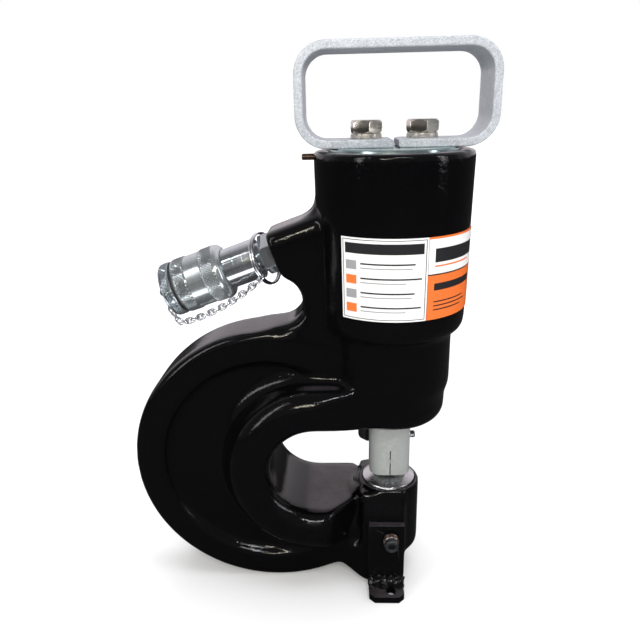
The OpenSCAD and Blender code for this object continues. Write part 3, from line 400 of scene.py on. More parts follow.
class Graph:
    """Makes and joins the nodes of one node tree."""

    def __init__(self, tree: bpy.types.NodeTree) -> None:
        """Keeps the tree."""
        self.tree = tree

    def node(
        self, kind: str, inputs: Optional[dict[str, object]] = None, **settings: object
    ) -> bpy.types.Node:
        """Adds one node.

        Args:
            kind: Type of the node.
            inputs: Values or sockets for its inputs, by name.
            settings: Properties of the node.

        Returns:
            The node.
        """
        made = self.tree.nodes.new(kind)
        for key, value in settings.items():
            setattr(made, key, value)
        for key, value in (inputs or {}).items():
            self.feed(made.inputs[key], value)
        return made

    def feed(self, socket: Socket, value: object) -> None:
        """Sets an input to a value, or links it to a socket.

        Args:
            socket: The input.
            value: Value or socket.
        """
        if isinstance(value, bpy.types.NodeSocket):
            self.tree.links.new(value, socket)
        else:
            socket.default_value = value

    def math(self, what: str, a: Value, b: Value = 0.0, clamp: bool = False) -> Socket:
        """Adds a maths node.

        Args:
            what: Operation.
            a: First value or socket.
            b: Second value or socket.
            clamp: Whether the result stays from 0 to 1.

        Returns:
            Its output.
        """
        made = self.node("ShaderNodeMath", operation=what, use_clamp=clamp)
        self.feed(made.inputs[0], a)
        self.feed(made.inputs[1], b)
        return made.outputs[0]

    def times(self, a: Value, b: Value, clamp: bool = False) -> Socket:
        """Product of two values."""
        return self.math("MULTIPLY", a, b, clamp)

    def plus(self, a: Value, b: Value) -> Socket:
        """Sum of two values."""
        return self.math("ADD", a, b)

    def where(self) -> Socket:
        """Place on the surface, in the object's own coordinates."""
        return self.node("ShaderNodeTexCoord").outputs["Object"]

    def parts(self, vector: Socket) -> tuple[Socket, Socket, Socket]:
        """X, Y and Z of a vector."""
        made = self.node("ShaderNodeSeparateXYZ", {"Vector": vector})
        return made.outputs[0], made.outputs[1], made.outputs[2]

    def ramp(
        self, value: Socket, low: Value, high: Value, start: Value = 0.0, end: Value = 1.0
    ) -> Socket:
        """Maps a value from one range to another.

        Args:
            value: Value to map.
            low: Low end of its range.
            high: High end of its range.
            start: Result at the low end.
            end: Result at the high end.

        Returns:
            The mapped value.
        """
        inputs = {"Value": value, "From Min": low, "From Max": high, "To Min": start, "To Max": end}
        return self.node("ShaderNodeMapRange", inputs, clamp=True).outputs["Result"]

    def mix(self, share: Value, a: object, b: object) -> Socket:
        """Mixes two colours.

        Args:
            share: Share of the second colour.
            a: First colour or socket.
            b: Second colour or socket.

        Returns:
            The mixed colour.
        """
        made = self.node("ShaderNodeMix", data_type="RGBA")
        self.feed(made.inputs[0], share)
        for socket, value in ((made.inputs[6], a), (made.inputs[7], b)):
            self.feed(socket, value if isinstance(value, bpy.types.NodeSocket) else (*value, 1.0))
        return made.outputs[2]

    def noise(self, vector: Socket, scale: Value, detail: float, rough: float = 0.5) -> Socket:
        """Adds a noise.

        Args:
            vector: Place at which it is read.
            scale: Its scale.
            detail: Its steps of detail.
            rough: Share that each step of detail keeps.

        Returns:
            The noise, as a value.
        """
        inputs = {"Vector": vector, "Scale": scale, "Detail": detail, "Roughness": rough}
        return self.node("ShaderNodeTexNoise", inputs).outputs[0]

    def shape(self, shader: bpy.types.Node, height: Socket, depth: float, reach: float) -> None:
        """Lets a height shape the surface of a shader.

        Args:
            shader: Principled shader.
            height: Height to show.
            depth: Strength of the bump.
            reach: Height of the bump at full strength, in millimetres.
        """
        bump = self.node("ShaderNodeBump", {"Height": height, "Strength": depth, "Distance": reach * MM})
        self.feed(shader.inputs["Normal"], bump.outputs["Normal"])


class Effects:
    """Builds the shared node groups once and places them in materials."""

    def __init__(self) -> None:
        """Makes every group."""
        self.trees: dict[Effect, bpy.types.NodeTree] = {}
        self._grain()
        self._wear()
        self._lines()
        self._spangle()
        self._dust()
        self._field()
        self._valley()

    def place(self, graph: Graph, effect: Effect, inputs: dict[str, object], output: str) -> Socket:
        """Places a group in a material.

        Args:
            graph: Nodes of the material.
            effect: Which group.
            inputs: Its values.
            output: Name of the output that is wanted.

        Returns:
            That output.
        """
        return graph.node("ShaderNodeGroup", inputs, node_tree=self.trees[effect]).outputs[output]

    def _start(
        self,
        effect: Effect,
        inputs: Sequence[tuple[str, float]],
        outputs: Sequence[str],
        vectors: Sequence[str] = (),
    ) -> tuple[Graph, bpy.types.Node, bpy.types.Node]:
        """Starts a group.

        Args:
            effect: Which group.
            inputs: Name and first value of each number that it takes.
            outputs: Names of its outputs.
            vectors: Names of the vectors that it takes.

        Returns:
            Its graph, its input node and its output node.
        """
        tree = bpy.data.node_groups.new(effect.value, "ShaderNodeTree")
        for name in vectors:
            tree.interface.new_socket(name=name, in_out="INPUT", socket_type="NodeSocketVector")
        for name, value in inputs:
            socket = tree.interface.new_socket(name=name, in_out="INPUT", socket_type="NodeSocketFloat")
            socket.default_value = value
        for name in outputs:
            tree.interface.new_socket(name=name, in_out="OUTPUT", socket_type="NodeSocketFloat")
        graph = Graph(tree)
        self.trees[effect] = tree
        return graph, graph.node("NodeGroupInput"), graph.node("NodeGroupOutput")

    def _grain(self) -> None:
        """Fine and coarse unevenness of a surface."""
        names = [("Scale", 500.0), ("Coarse", 0.3)]
        graph, given, out = self._start(Effect.GRAIN, names, ["Fine", "Broad"])
        where = graph.where()
        fine = graph.noise(where, given.outputs["Scale"], 3.0, 0.55)
        broad = graph.noise(where, graph.times(given.outputs["Scale"], 0.06), 3.0)
        both = graph.plus(fine, graph.times(broad, given.outputs["Coarse"]))
        graph.feed(out.inputs["Fine"], both)
        graph.feed(out.inputs["Broad"], broad)

    def _wear(self) -> None:
        """Mask of outer edges, broken up by noise, for rubbed wear and for painted edge shade and
        highlights.
        """
        names = [("From", 0.53), ("To", 0.62), ("Scale", 160.0)]
        graph, given, out = self._start(Effect.WEAR, names, ["Mask"])
        edge = graph.node("ShaderNodeNewGeometry").outputs["Pointiness"]
        where = graph.where()
        crest = graph.ramp(edge, given.outputs["From"], given.outputs["To"])
        patchy = graph.ramp(graph.noise(where, given.outputs["Scale"], 4.0, 0.6), 0.42, 0.66)
        graph.feed(out.inputs["Mask"], graph.times(crest, patchy, True))

    def _lines(self) -> None:
        """Lines left by turning or drawing, from a vector that is stretched along them."""
        graph, given, out = self._start(Effect.LINES, [("Scale", 1.0)], ["Height"], ["Vector"])
        lines = graph.noise(given.outputs["Vector"], given.outputs["Scale"], 2.0, 0.6)
        graph.feed(out.inputs["Height"], lines)

    def _spangle(self) -> None:
        """Crystal patches of zinc plate."""
        graph, given, out = self._start(Effect.SPANGLE, [("Scale", 350.0), ("Cloud", 40.0)], ["Patch"])
        where = graph.where()
        cells = graph.node("ShaderNodeTexVoronoi", {"Vector": where, "Scale": given.outputs["Scale"]})
        tone = graph.node("ShaderNodeSeparateColor", {"Color": cells.outputs["Color"]}).outputs[0]
        cloud = graph.noise(where, given.outputs["Cloud"], 4.0, 0.6)
        graph.feed(out.inputs["Patch"], graph.times(graph.plus(tone, cloud), 0.5))

    def _dust(self) -> None:
        """Mask of faces that look upwards, thinned by noise, for dust and a painted sheen."""
        names = [("From", 0.35), ("To", 0.95), ("Scale", 60.0)]
        graph, given, out = self._start(Effect.DUST, names, ["Mask"])
        up = graph.parts(graph.node("ShaderNodeNewGeometry").outputs["Normal"])[2]
        cloud = graph.noise(graph.where(), given.outputs["Scale"], 5.0, 0.65)
        thin = graph.ramp(cloud, 0.25, 0.7, 0.45, 1.0)
        faced = graph.ramp(up, given.outputs["From"], given.outputs["To"])
        graph.feed(out.inputs["Mask"], graph.times(faced, thin, True))

    def _field(self) -> None:
        """Mask of one printed rectangle between two angles and two heights."""
        names = [("Angle", 0.0), ("Height", 0.0), ("Left", 0.0), ("Right", 1.0), ("Low", 0.0), ("High", 1.0)]
        graph, given, out = self._start(Effect.FIELD, names, ["Mask"])
        mask: Value = 1.0
        for way, low, high in (("Angle", "Left", "Right"), ("Height", "Low", "High")):
            above = graph.math("GREATER_THAN", given.outputs[way], given.outputs[low])
            below = graph.math("LESS_THAN", given.outputs[way], given.outputs[high])
            mask = graph.times(graph.times(above, below), mask)
        graph.feed(out.inputs["Mask"], mask)

    def _valley(self) -> None:
        """Mask of the valleys between raised places, where painted shade goes."""
        graph, given, out = self._start(Effect.VALLEY, [("From", 0.50), ("To", 0.44)], ["Mask"])
        edge = graph.node("ShaderNodeNewGeometry").outputs["Pointiness"]
        graph.feed(out.inputs["Mask"], graph.ramp(edge, given.outputs["From"], given.outputs["To"]))


def new_material(name: str) -> tuple[bpy.types.Material, Graph, bpy.types.Node]:
    """Starts a material.

    Args:
        name: Name of the material.

    Returns:
        The material, its graph and its Principled shader.
    """
    material = bpy.data.materials.new(name)
    material.use_nodes = True
    graph = Graph(material.node_tree)
    return material, graph, material.node_tree.nodes["Principled BSDF"]


# Finishes

@dataclass(frozen=True)
class GlossPaint:
    """Gloss black paint on a forging, with a soft peel, dust and a painted mauve sheen on its upward faces,
    and rubbed edges with a painted highlight.
    """

    name: str
    color: Color = (0.0016, 0.0016, 0.0019)
    # film: painted mauve sheen of the bright sky on upward faces, mixed with a rougher film of dust
    film: Color = (0.085, 0.072, 0.080)
    # worn: rubbed edges, lightened as a painted highlight
    worn: Color = (0.070, 0.064, 0.068)
    roughness: float = 0.07
    peel_scale: float = 440.0
    peel_depth: float = 0.30
    peel_reach: float = 0.6
    # dust: share of that painted sheen and dust on upward faces
    dust: float = 0.75
    dust_sheen_from: float = 0.95
    specular: float = 0.32
    coat: float = 0.15
    coat_roughness: float = 0.08

    def make(self, effects: Effects) -> bpy.types.Material:
        """Builds the material.

        Args:
            effects: Shared node groups.

        Returns:
            The material.
        """
        material, graph, shader = new_material(self.name)
        fine = effects.place(graph, Effect.GRAIN, {"Scale": self.peel_scale, "Coarse": 1.6}, "Fine")
        broad = effects.place(graph, Effect.GRAIN, {"Scale": self.peel_scale * 2, "Coarse": 0.0}, "Broad")
        # Upward faces get dust and a painted mauve sheen.
        film = effects.place(graph, Effect.DUST, {"From": self.dust_sheen_from, "To": 1.0, "Scale": 90.0}, "Mask")
        # Rubbed edges take the worn colour as a painted highlight.
        worn = effects.place(graph, Effect.WEAR, {"From": 0.55, "To": 0.66, "Scale": 210.0}, "Mask")
        dust_sheen_color = graph.mix(graph.times(film, self.dust), self.color, self.film)
        graph.feed(shader.inputs["Base Color"], graph.mix(graph.times(worn, 0.5), dust_sheen_color, self.worn))
        rough = graph.ramp(broad, 0.3, 0.7, self.roughness - 0.03, self.roughness + 0.05)
        graph.feed(shader.inputs["Roughness"], graph.plus(rough, graph.times(film, 0.10)))
        shader.inputs["Specular IOR Level"].default_value = self.specular
        shader.inputs["Coat Weight"].default_value = self.coat
        shader.inputs["Coat Roughness"].default_value = self.coat_roughness
        graph.shape(shader, fine, self.peel_depth, self.peel_reach)
        return material


@dataclass(frozen=True)
class PlatedMetal:
    """Plated, ground or turned metal with crystal patches, grain and tool lines, an edge tone and painted
    shade in knurl valleys; the edge tone is rubbed wear on most metals and painted shade on the handle.
    """

    name: str
    color: Color
    tint: Color
    roughness: float = 0.36
    metallic: float = 0.92
    spangle: float = 420.0
    grain: float = 900.0
    grain_depth: float = 0.05
    grain_reach: float = 0.4
    lay: Lay = Lay.NONE
    line_depth: float = 0.10
    # The edge share and edge colour: lighter rubbed edges on most metals, painted dark shade along the carry
    # handle's rounded edges.
    wear: float = 0.25
    edge_color: Color = (0.86, 0.87, 0.88)
    # The valley share and the dark colour paint shade into the knurl valleys.
    soil: float = 0.0
    dark: Color = (0.025, 0.026, 0.028)

    def _line_vector(self, graph: Graph) -> Socket:
        """Vector that is stretched along the tool lines, in the object's own coordinates.

        Args:
            graph: Nodes of the material.

        Returns:
            The vector.
        """
        x, y, z = graph.parts(graph.where())
        made = graph.node("ShaderNodeCombineXYZ")
        if self.lay is Lay.UPRIGHT:
            graph.feed(made.inputs[0], graph.times(graph.math("ARCTAN2", y, x), DRAWN_LINES[0]))
            graph.feed(made.inputs[2], graph.times(z, DRAWN_LINES[1]))
        elif self.lay is Lay.ROUND_Z:
            radius = graph.math("SQRT", graph.plus(graph.times(x, x), graph.times(y, y)))
            graph.feed(made.inputs[0], graph.times(radius, TURNED_LINES))
            graph.feed(made.inputs[2], graph.times(z, TURNED_LINES))
        else:
            tilt = math.radians(Coupler.tilt)
            along = graph.plus(graph.times(x, math.cos(tilt)), graph.times(z, math.sin(tilt)))
            graph.feed(made.inputs[0], graph.times(along, COUPLER_LINES))
        return made.outputs[0]

    def make(self, effects: Effects) -> bpy.types.Material:
        """Builds the material.

        Args:
            effects: Shared node groups.

        Returns:
            The material.
        """
        material, graph, shader = new_material(self.name)
        if self.spangle:
            sizes = {"Scale": self.spangle, "Cloud": self.spangle * 0.1}
            patch = effects.place(graph, Effect.SPANGLE, sizes, "Patch")
        else:
            patch = effects.place(graph, Effect.GRAIN, {"Scale": self.grain, "Coarse": 0.0}, "Broad")
        fine = effects.place(graph, Effect.GRAIN, {"Scale": self.grain, "Coarse": 0.4}, "Fine")
        worn = effects.place(graph, Effect.WEAR, {"From": 0.52, "To": 0.60, "Scale": 300.0}, "Mask")
        tone = graph.ramp(patch, 0.25, 0.75)
        height = fine
        if self.lay is not Lay.NONE:
            lines = effects.place(graph, Effect.LINES, {"Vector": self._line_vector(graph)}, "Height")
            weight = self.line_depth / max(self.grain_depth, 0.001)
            height = graph.plus(fine, graph.times(lines, weight))
            tone = graph.plus(graph.times(tone, 0.6), graph.times(lines, 0.4))
        base = graph.mix(tone, self.color, self.tint)
        # Knurl valleys are darkened with painted shade.
        if self.soil:
            valley = effects.place(graph, Effect.VALLEY, {"From": 0.505, "To": 0.465}, "Mask")
            base = graph.mix(graph.times(valley, self.soil), base, self.dark)
        # Edges take the edge colour: rubbed wear on most metals, painted shade on the handle.
        base = graph.mix(graph.times(worn, self.wear), base, self.edge_color)
        graph.feed(shader.inputs["Base Color"], base)
        rough = graph.ramp(patch, 0.2, 0.8, self.roughness - 0.06, self.roughness + 0.08)
        graph.feed(shader.inputs["Roughness"], rough)
        shader.inputs["Metallic"].default_value = self.metallic
        graph.shape(shader, height, self.grain_depth, self.grain_reach)
        return material


@dataclass(frozen=True)
class Moulded:
    """Moulded rubber, resin or plastic with a fine grain."""

    name: str
    color: Color
    pale: Color
    roughness: float = 0.55
    grain: float = 1400.0
    grain_depth: float = 0.12
    grain_reach: float = 0.3

    def make(self, effects: Effects) -> bpy.types.Material:
        """Builds the material.

        Args:
            effects: Shared node groups.

        Returns:
            The material.
        """
        material, graph, shader = new_material(self.name)
        fine = effects.place(graph, Effect.GRAIN, {"Scale": self.grain, "Coarse": 0.5}, "Fine")
        worn = effects.place(graph, Effect.WEAR, {"From": 0.52, "To": 0.62, "Scale": 250.0}, "Mask")
        graph.feed(shader.inputs["Base Color"], graph.mix(graph.times(worn, 0.5), self.color, self.pale))
        rough = graph.ramp(fine, 0.3, 1.0, self.roughness - 0.08, self.roughness + 0.1)
        graph.feed(shader.inputs["Roughness"], rough)
        graph.shape(shader, fine, self.grain_depth, self.grain_reach)
        return material


@dataclass(frozen=True)
class PrintedField:
    """One rectangle of a label, between two angles in degrees and two heights in millimetres."""

    left: float
    right: float
    low: float
    high: float
    color: Color


@dataclass(frozen=True)
class LabelFilm:
    """Printed film on the barrel: a ground colour with plain rectangles."""

    name: str
    ground: Color
    fields: tuple[PrintedField, ...]
    roughness: float = 0.32

    def make(self, effects: Effects) -> bpy.types.Material:
        """Builds the material.

        Args:
            effects: Shared node groups.

        Returns:
            The material.
        """
        material, graph, shader = new_material(self.name)
        x, y, z = graph.parts(graph.where())
        turn = graph.times(graph.math("ARCTAN2", x, graph.times(y, -1.0)), math.degrees(1.0))
        height = graph.times(z, 1.0 / MM)
        broad = effects.place(graph, Effect.GRAIN, {"Scale": 500.0, "Coarse": 0.5}, "Broad")
        soiled = tuple(c * 0.93 for c in self.ground)
        color = graph.mix(graph.ramp(broad, 0.35, 0.75), self.ground, soiled)
        for spot in self.fields:
            edges = {"Left": spot.left, "Right": spot.right, "Low": spot.low, "High": spot.high}
            mask = effects.place(graph, Effect.FIELD, {"Angle": turn, "Height": height, **edges}, "Mask")
            color = graph.mix(mask, color, spot.color)
        graph.feed(shader.inputs["Base Color"], color)
        rough = graph.ramp(broad, 0.3, 0.7, self.roughness - 0.05, self.roughness + 0.08)
        graph.feed(shader.inputs["Roughness"], rough)
        return material


INK: Color = (0.016, 0.016, 0.018)
PAPER: Color = (0.80, 0.80, 0.79)
ORANGE: Color = (0.83, 0.165, 0.022)


def plain_panel_fields() -> tuple[PrintedField, ...]:
    """Blank form of the white panel: an outline, a dark heading bar and ruled rows.

    Returns:
        Its rectangles.
    """
    left, right, low, high = -40.8, 19.3, 218.0, 267.5
    line, turn = 0.45, 0.55
    grey: Color = (0.30, 0.30, 0.31)
    fields = [
        PrintedField(left, right, high - line, high, INK),
        PrintedField(left, right, low, low + line, INK),
        PrintedField(left, left + turn, low, high, INK),
        PrintedField(right - turn, right, low, high, INK),
        PrintedField(left + 2.0, right - 2.0, high - 8.6, high - 2.2, INK),
    ]
    for i in range(4):
        base = low + 4.0 + 9.0 * i
        odd = i % 2
        fields += [
            PrintedField(left + 2.5, left + 11.0, base, base + 5.6, grey if odd else ORANGE),
            PrintedField(left + 14.0, right - 3.0 - 5.0 * odd, base + 3.4, base + 4.4, INK),
            PrintedField(left + 14.0, right - 14.0 + 4.0 * odd, base + 0.9, base + 1.6, grey),
        ]
    return tuple(fields)


def colour_panel_fields() -> tuple[PrintedField, ...]:
    """Plain bands of the coloured panel: white above, orange below, with thin rules.

    Returns:
        Its rectangles.
    """
    left, right, low, high = 20.9, 80.0, 217.0, 268.5
    split = low + 29.0
    return (
        PrintedField(left, right, split, high, PAPER),
        PrintedField(left, right, split - 0.9, split, INK),
        PrintedField(left, right, high - 1.2, high, ORANGE),
        PrintedField(left + 5.0, right - 8.0, split + 7.0, split + 15.5, INK),
        PrintedField(left + 5.0, right - 16.0, split + 4.2, split + 5.2, ORANGE),
        PrintedField(left + 5.0, right - 10.0, low + 18.5, low + 23.0, INK),
        PrintedField(left + 5.0, right - 22.0, low + 11.0, low + 11.8, INK),
        PrintedField(left + 5.0, right - 18.0, low + 8.4, low + 9.2, INK),
        PrintedField(left + 5.0, right - 25.0, low + 5.8, low + 6.6, INK),
    )


def make_finishes(effects: Effects) -> Finishes:
    """Builds the finish of every material slot.

    Args:
        effects: Shared node groups.

    Returns:
        Material of each slot.
    """
    zinc_light: Color = (0.78, 0.80, 0.82)
    finishes = {
        Slot.BLACK_PAINT: GlossPaint("gloss_black_paint"),
        # The brackets take less of the painted sheen and dust.
        Slot.BRACKET_PAINT: GlossPaint("bracket_black_paint", peel_depth=0.45, peel_scale=400.0, dust=0.35),
        Slot.ZINC_CAP: PlatedMetal(
            "bluish_zinc", (0.30, 0.42, 0.42), (0.62, 0.76, 0.76), 0.20, spangle=0.0, lay=Lay.UPRIGHT,
            line_depth=0.05, grain_depth=0.03,
        ),
        # The handle's dark edge colour paints shade along the bar's rounded edges.
        Slot.ZINC_HANDLE: PlatedMetal(
            "zinc_flat_bar", (0.36, 0.385, 0.42), (0.60, 0.63, 0.67), 0.40, metallic=0.22, spangle=1700.0,
            grain=1500.0, grain_depth=0.08, wear=0.8, edge_color=(0.12, 0.125, 0.15),
        ),
        Slot.ZINC_BOLT: PlatedMetal(
            "warm_zinc", (0.62, 0.58, 0.50), (0.74, 0.70, 0.62), 0.14, metallic=1.0, spangle=0.0,
            grain_depth=0.01,
        ),
        Slot.WASHER_STEEL: PlatedMetal(
            "washer_zinc", (0.48, 0.45, 0.41), (0.58, 0.55, 0.50), 0.30, metallic=0.7,
        ),
        Slot.GROUND_STEEL: PlatedMetal(
            "ground_steel", (0.44, 0.46, 0.48), (0.62, 0.64, 0.66), 0.28, lay=Lay.ROUND_Z,
        ),
        Slot.DIE_STEEL: PlatedMetal(
            "turned_die_steel", (0.56, 0.56, 0.58), (0.78, 0.78, 0.79), 0.26, metallic=1.0, lay=Lay.ROUND_Z,
            line_depth=0.12, grain_depth=0.05, spangle=0.0, wear=0.4,
        ),
        Slot.SATIN_GREY: PlatedMetal(
            "satin_grey_steel", (0.36, 0.38, 0.37), (0.41, 0.43, 0.42), 0.46, metallic=0.30, spangle=0.0,
            grain=1200.0, grain_depth=0.03, wear=0.3, edge_color=(0.60, 0.61, 0.60),
        ),
        Slot.KNOB_BLACK: Moulded("black_knob", (0.012, 0.012, 0.013), (0.06, 0.06, 0.06), 0.42),
        Slot.BRONZE: PlatedMetal(
            "turned_bronze", (0.55, 0.36, 0.16), (0.70, 0.50, 0.26), 0.30, lay=Lay.ROUND_Z,
        ),
        Slot.GUIDE_RESIN: Moulded("guide_resin", (0.22, 0.12, 0.05), (0.34, 0.22, 0.12), 0.6),
        Slot.SEAL_RUBBER: Moulded("seal_rubber", (0.013, 0.013, 0.013), (0.05, 0.05, 0.05), 0.6),
        Slot.SPRING_STEEL: PlatedMetal("spring_wire", (0.12, 0.12, 0.13), (0.24, 0.24, 0.25), 0.36),
        Slot.LABEL_WHITE: LabelFilm("white_label_film", PAPER, plain_panel_fields()),
        Slot.LABEL_ORANGE: LabelFilm("orange_label_film", ORANGE, colour_panel_fields()),
        Slot.ZINC_COUPLER: PlatedMetal(
            "bright_zinc", (0.56, 0.63, 0.66), zinc_light, 0.14, metallic=0.96, spangle=0.0,
            lay=Lay.ALONG_COUPLER, line_depth=0.05, grain_depth=0.02,
        ),
        Slot.ZINC_COLLAR: PlatedMetal(
            "knurled_zinc", (0.54, 0.60, 0.62), (0.68, 0.73, 0.75), 0.20, metallic=0.88, spangle=0.0,
            grain_depth=0.01, wear=0.6, soil=0.9,
        ),
        Slot.ZINC_DUST_CAP: PlatedMetal(
            "bluish_knurled_zinc", (0.46, 0.53, 0.58), (0.58, 0.65, 0.70), 0.20, metallic=0.88, spangle=0.0,
            grain_depth=0.01, wear=0.5, soil=0.9,
        ),
        Slot.CHAIN_ZINC: PlatedMetal(
            "chain_zinc", zinc_light, (0.88, 0.89, 0.94), 0.12, metallic=1.0, spangle=0.0, grain_depth=0.01,
        ),
        Slot.SCREW_DARK: PlatedMetal(
            "dark_screw", (0.040, 0.042, 0.046), (0.075, 0.078, 0.085), 0.30, metallic=0.7, spangle=120.0,
            wear=0.5, edge_color=(0.36, 0.36, 0.37),
        ),
        Slot.PIN_BROWN: PlatedMetal(
            "browned_pin", (0.060, 0.036, 0.026), (0.14, 0.085, 0.060), 0.26, metallic=0.7, spangle=0.0,
            wear=0.6,
        ),
    }
    return {slot: finish.make(effects) for slot, finish in finishes.items()}


# Sub-assemblies

class SubAssembly:
    """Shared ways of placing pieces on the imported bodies."""

    def __init__(self, finishes: Finishes) -> None:
        """Keeps the finishes."""
        self.finishes = finishes

    def put(
        self, obj: bpy.types.Object, body: Body, slot: Slot, *stands_for: str, ride: bool = True
    ) -> bpy.types.Object:
        """Finishes a piece and lets it ride on a body.

        Args:
            obj: The piece.
            body: Body that it rides on.
            slot: Material slot that it takes its finish from.
            stands_for: CAD nodes that it replaces.
            ride: Whether it rides on the body.

        Returns:
            The piece.
        """
        obj.data.materials.clear()
        obj.data.materials.append(self.finishes[slot])
        if stands_for:
            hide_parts(*stands_for)
        if ride:
            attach(obj, body.value)
        LOG.info("piece %s on %s in %s", obj.name, body.value, slot.value)
        return obj

    def ease(self, node: str, width: float, body: Body, slot: Slot, steps: int = 2) -> None:
        """Shows a CAD node with rounded edges.

        Args:
            node: CAD node.
            width: Width of the rounding, in millimetres.
            body: Body that it rides on.
            slot: Material slot.
            steps: Facets of the rounding.
        """
        self.put(eased_copy(node, width, steps), body, slot, node)

    def dress(self, slot: Slot, *nodes: str) -> None:
        """Gives CAD nodes the finish of a slot.

        Args:
            slot: Material slot.
            nodes: CAD nodes.
        """
        for node in nodes:
            for place in frame["nodes"][node].material_slots:
                place.material = self.finishes[slot]
            LOG.info("node %s in %s", node, slot.value)


@dataclass
class ForgedForm:
    """Sizes of the forging's machined places and of the smoothing of its skin, in millimetres."""

    voxel: float = 1.4
    rounds: int = 16
    pull: float = 0.55
    rim_fade: float = 10.0
    rim_least: float = 0.25
    boss_fade: float = 8.0
    boss_least: float = 0.35
    boss_reach: float = 30.0
    boss_limit_z: float = 90.0
    kept_share: float = 0.42
    gap: float = 0.4
    over: float = 2.0
    rim_z: float = 316.0
    nose_z: float = 132.5
    tube_r: float = 12.45
    tube_seat_z: float = 138.0
    tube_flange_r: float = 16.4
    bush_base_z: float = 142.0
    bush_r: float = 18.0
    spring_floor_z: float = 160.0
    spring_bore_r: float = 30.0
    bore_floor_z: float = 216.0
    bore_r: float = 38.0
    cap_seat_z: float = 290.0
    cap_r: float = 41.0
    die_r: float = 19.4
    die_base_z: float = 36.0
    slug_r: float = 9.7
    boss_top_z: float = 78.0
    pin_r: float = 2.0
    pin_z: float = 312.2
    pin_hole: float = 16.0
    barrel_r: float = 51.0


class ForgedFrame(SubAssembly):
    """The black forging with its soft edges and machined bores."""

    form = ForgedForm()

    def _skin(self) -> bpy.types.Mesh:
        """Even skin of the forging, before smoothing.

        Returns:
            The skin.
        """
        mesh = bpy.data.meshes.new("forging_start")
        bm = cad_copy("c_frame")
        bm.to_mesh(mesh)
        bm.free()
        start = new_object("forging_start", mesh)
        remesh = start.modifiers.new("skin", "REMESH")
        remesh.mode = "VOXEL"
        remesh.voxel_size = self.form.voxel * MM
        skin = applied(start)
        bpy.data.objects.remove(start)
        return skin

    def _soften(self, mesh: bpy.types.Mesh) -> None:
        """Rounds the skin's edges and fills its corners, less near machined faces.

        Args:
            mesh: Skin to soften.
        """
        f = self.form
        count = len(mesh.vertices)
        points = np.empty(count * 3)
        mesh.vertices.foreach_get("co", points)
        points = points.reshape(-1, 3)
        ends = np.empty(len(mesh.edges) * 2, dtype=np.int64)
        mesh.edges.foreach_get("vertices", ends)
        a, b = ends.reshape(-1, 2).T
        degree = np.bincount(np.concatenate([a, b]), minlength=count)
        x, y, z = points.T / MM
        rim = np.clip((f.rim_z - z) / f.rim_fade, f.rim_least, 1.0)
        boss = np.clip((f.boss_top_z - z) / f.boss_fade, f.boss_least, 1.0)
        on_boss = (np.hypot(x, y) < f.boss_reach) & (z < f.boss_limit_z)
        share = np.where(on_boss, boss, rim)[:, None] * f.pull
        for _ in range(f.rounds):
            sums = [np.bincount(a, p[b], count) + np.bincount(b, p[a], count) for p in points.T]
            points = points + share * (np.stack(sums, axis=1) / degree[:, None] - points)
        mesh.vertices.foreach_set("co", points.ravel())
        mesh.update()

    def _cutters(self) -> list[bpy.types.Object]:
        """Cutters of the cylinder, the die's seat and the pin's hole.

        Returns:
            The cutters.
        """
        f, g = self.form, self.form.gap
        barrel = [
            (0.0, f.nose_z - f.over), (f.tube_r + g, f.nose_z - f.over), (f.tube_r + g, f.tube_seat_z - g),
            (f.tube_flange_r + g, f.tube_seat_z - g), (f.tube_flange_r + g, f.bush_base_z - g),
            (f.bush_r + g, f.bush_base_z - g), (f.bush_r + g, f.spring_floor_z - g),
            (f.spring_bore_r + g, f.spring_floor_z - g), (f.spring_bore_r + g, f.bore_floor_z - g),
            (f.bore_r + g, f.bore_floor_z - g), (f.bore_r + g, f.cap_seat_z - g),
            (f.cap_r + g, f.cap_seat_z - g), (f.cap_r + g, f.rim_z + f.over), (0.0, f.rim_z + f.over),
        ]
        seat = [
            (0.0, -f.over), (f.slug_r + g, -f.over), (f.slug_r + g, f.die_base_z - g),
            (f.die_r + g, f.die_base_z - g), (f.die_r + g, f.boss_top_z + f.over),
            (0.0, f.boss_top_z + f.over),
        ]
        hole = [(0.0, 0.0), (f.pin_r + g, 0.0), (f.pin_r + g, f.pin_hole), (0.0, f.pin_hole)]
        outside = Matrix.Translation((-(f.barrel_r + f.over) * MM, 0, f.pin_z * MM))
        across = outside @ Matrix.Rotation(math.pi / 2, 4, "Y")
        return [
            lathe("cylinder_cutter", barrel, 128, ring=False),
            lathe("seat_cutter", seat, 96, ring=False),
            lathe("hole_cutter", hole, 32, across, ring=False),
        ]

    def build(self) -> None:
        """Builds the forging and places it."""
        mesh = self._skin()
        self._soften(mesh)
        obj = new_object("forged_frame", mesh)
        thin = obj.modifiers.new("thin", "DECIMATE")
        thin.ratio = self.form.kept_share
        cutters = self._cutters()
        for cutter in cutters:
            cut = obj.modifiers.new(cutter.name, "BOOLEAN")
            cut.operation = "DIFFERENCE"
            cut.solver = "MANIFOLD"
            cut.object = cutter
        done = applied(obj)
        obj.modifiers.clear()
        obj.data = shade(done, 42.0)
        for cutter in cutters:
            bpy.data.objects.remove(cutter)
        self.put(obj, Body.FRAME, Slot.BLACK_PAINT, "c_frame")
        self.dress(Slot.LABEL_WHITE, "plain_label")
        self.dress(Slot.LABEL_ORANGE, "colour_label")


@dataclass
class HandleForm:
    """Sizes of the carry handle, in millimetres."""

    base_z: float = 317.6
    width: float = 121.6
    height: float = 60.7
    bar_w: float = 39.0
    bar_t: float = 5.1
    corner: float = 19.0
    gap: float = 3.0
    edge: float = 0.8
    margin: float = 0.5
    end_step: float = 1.2
    end_shrink: float = 0.7
    corner_steps: int = 14
    edge_steps: int = 4


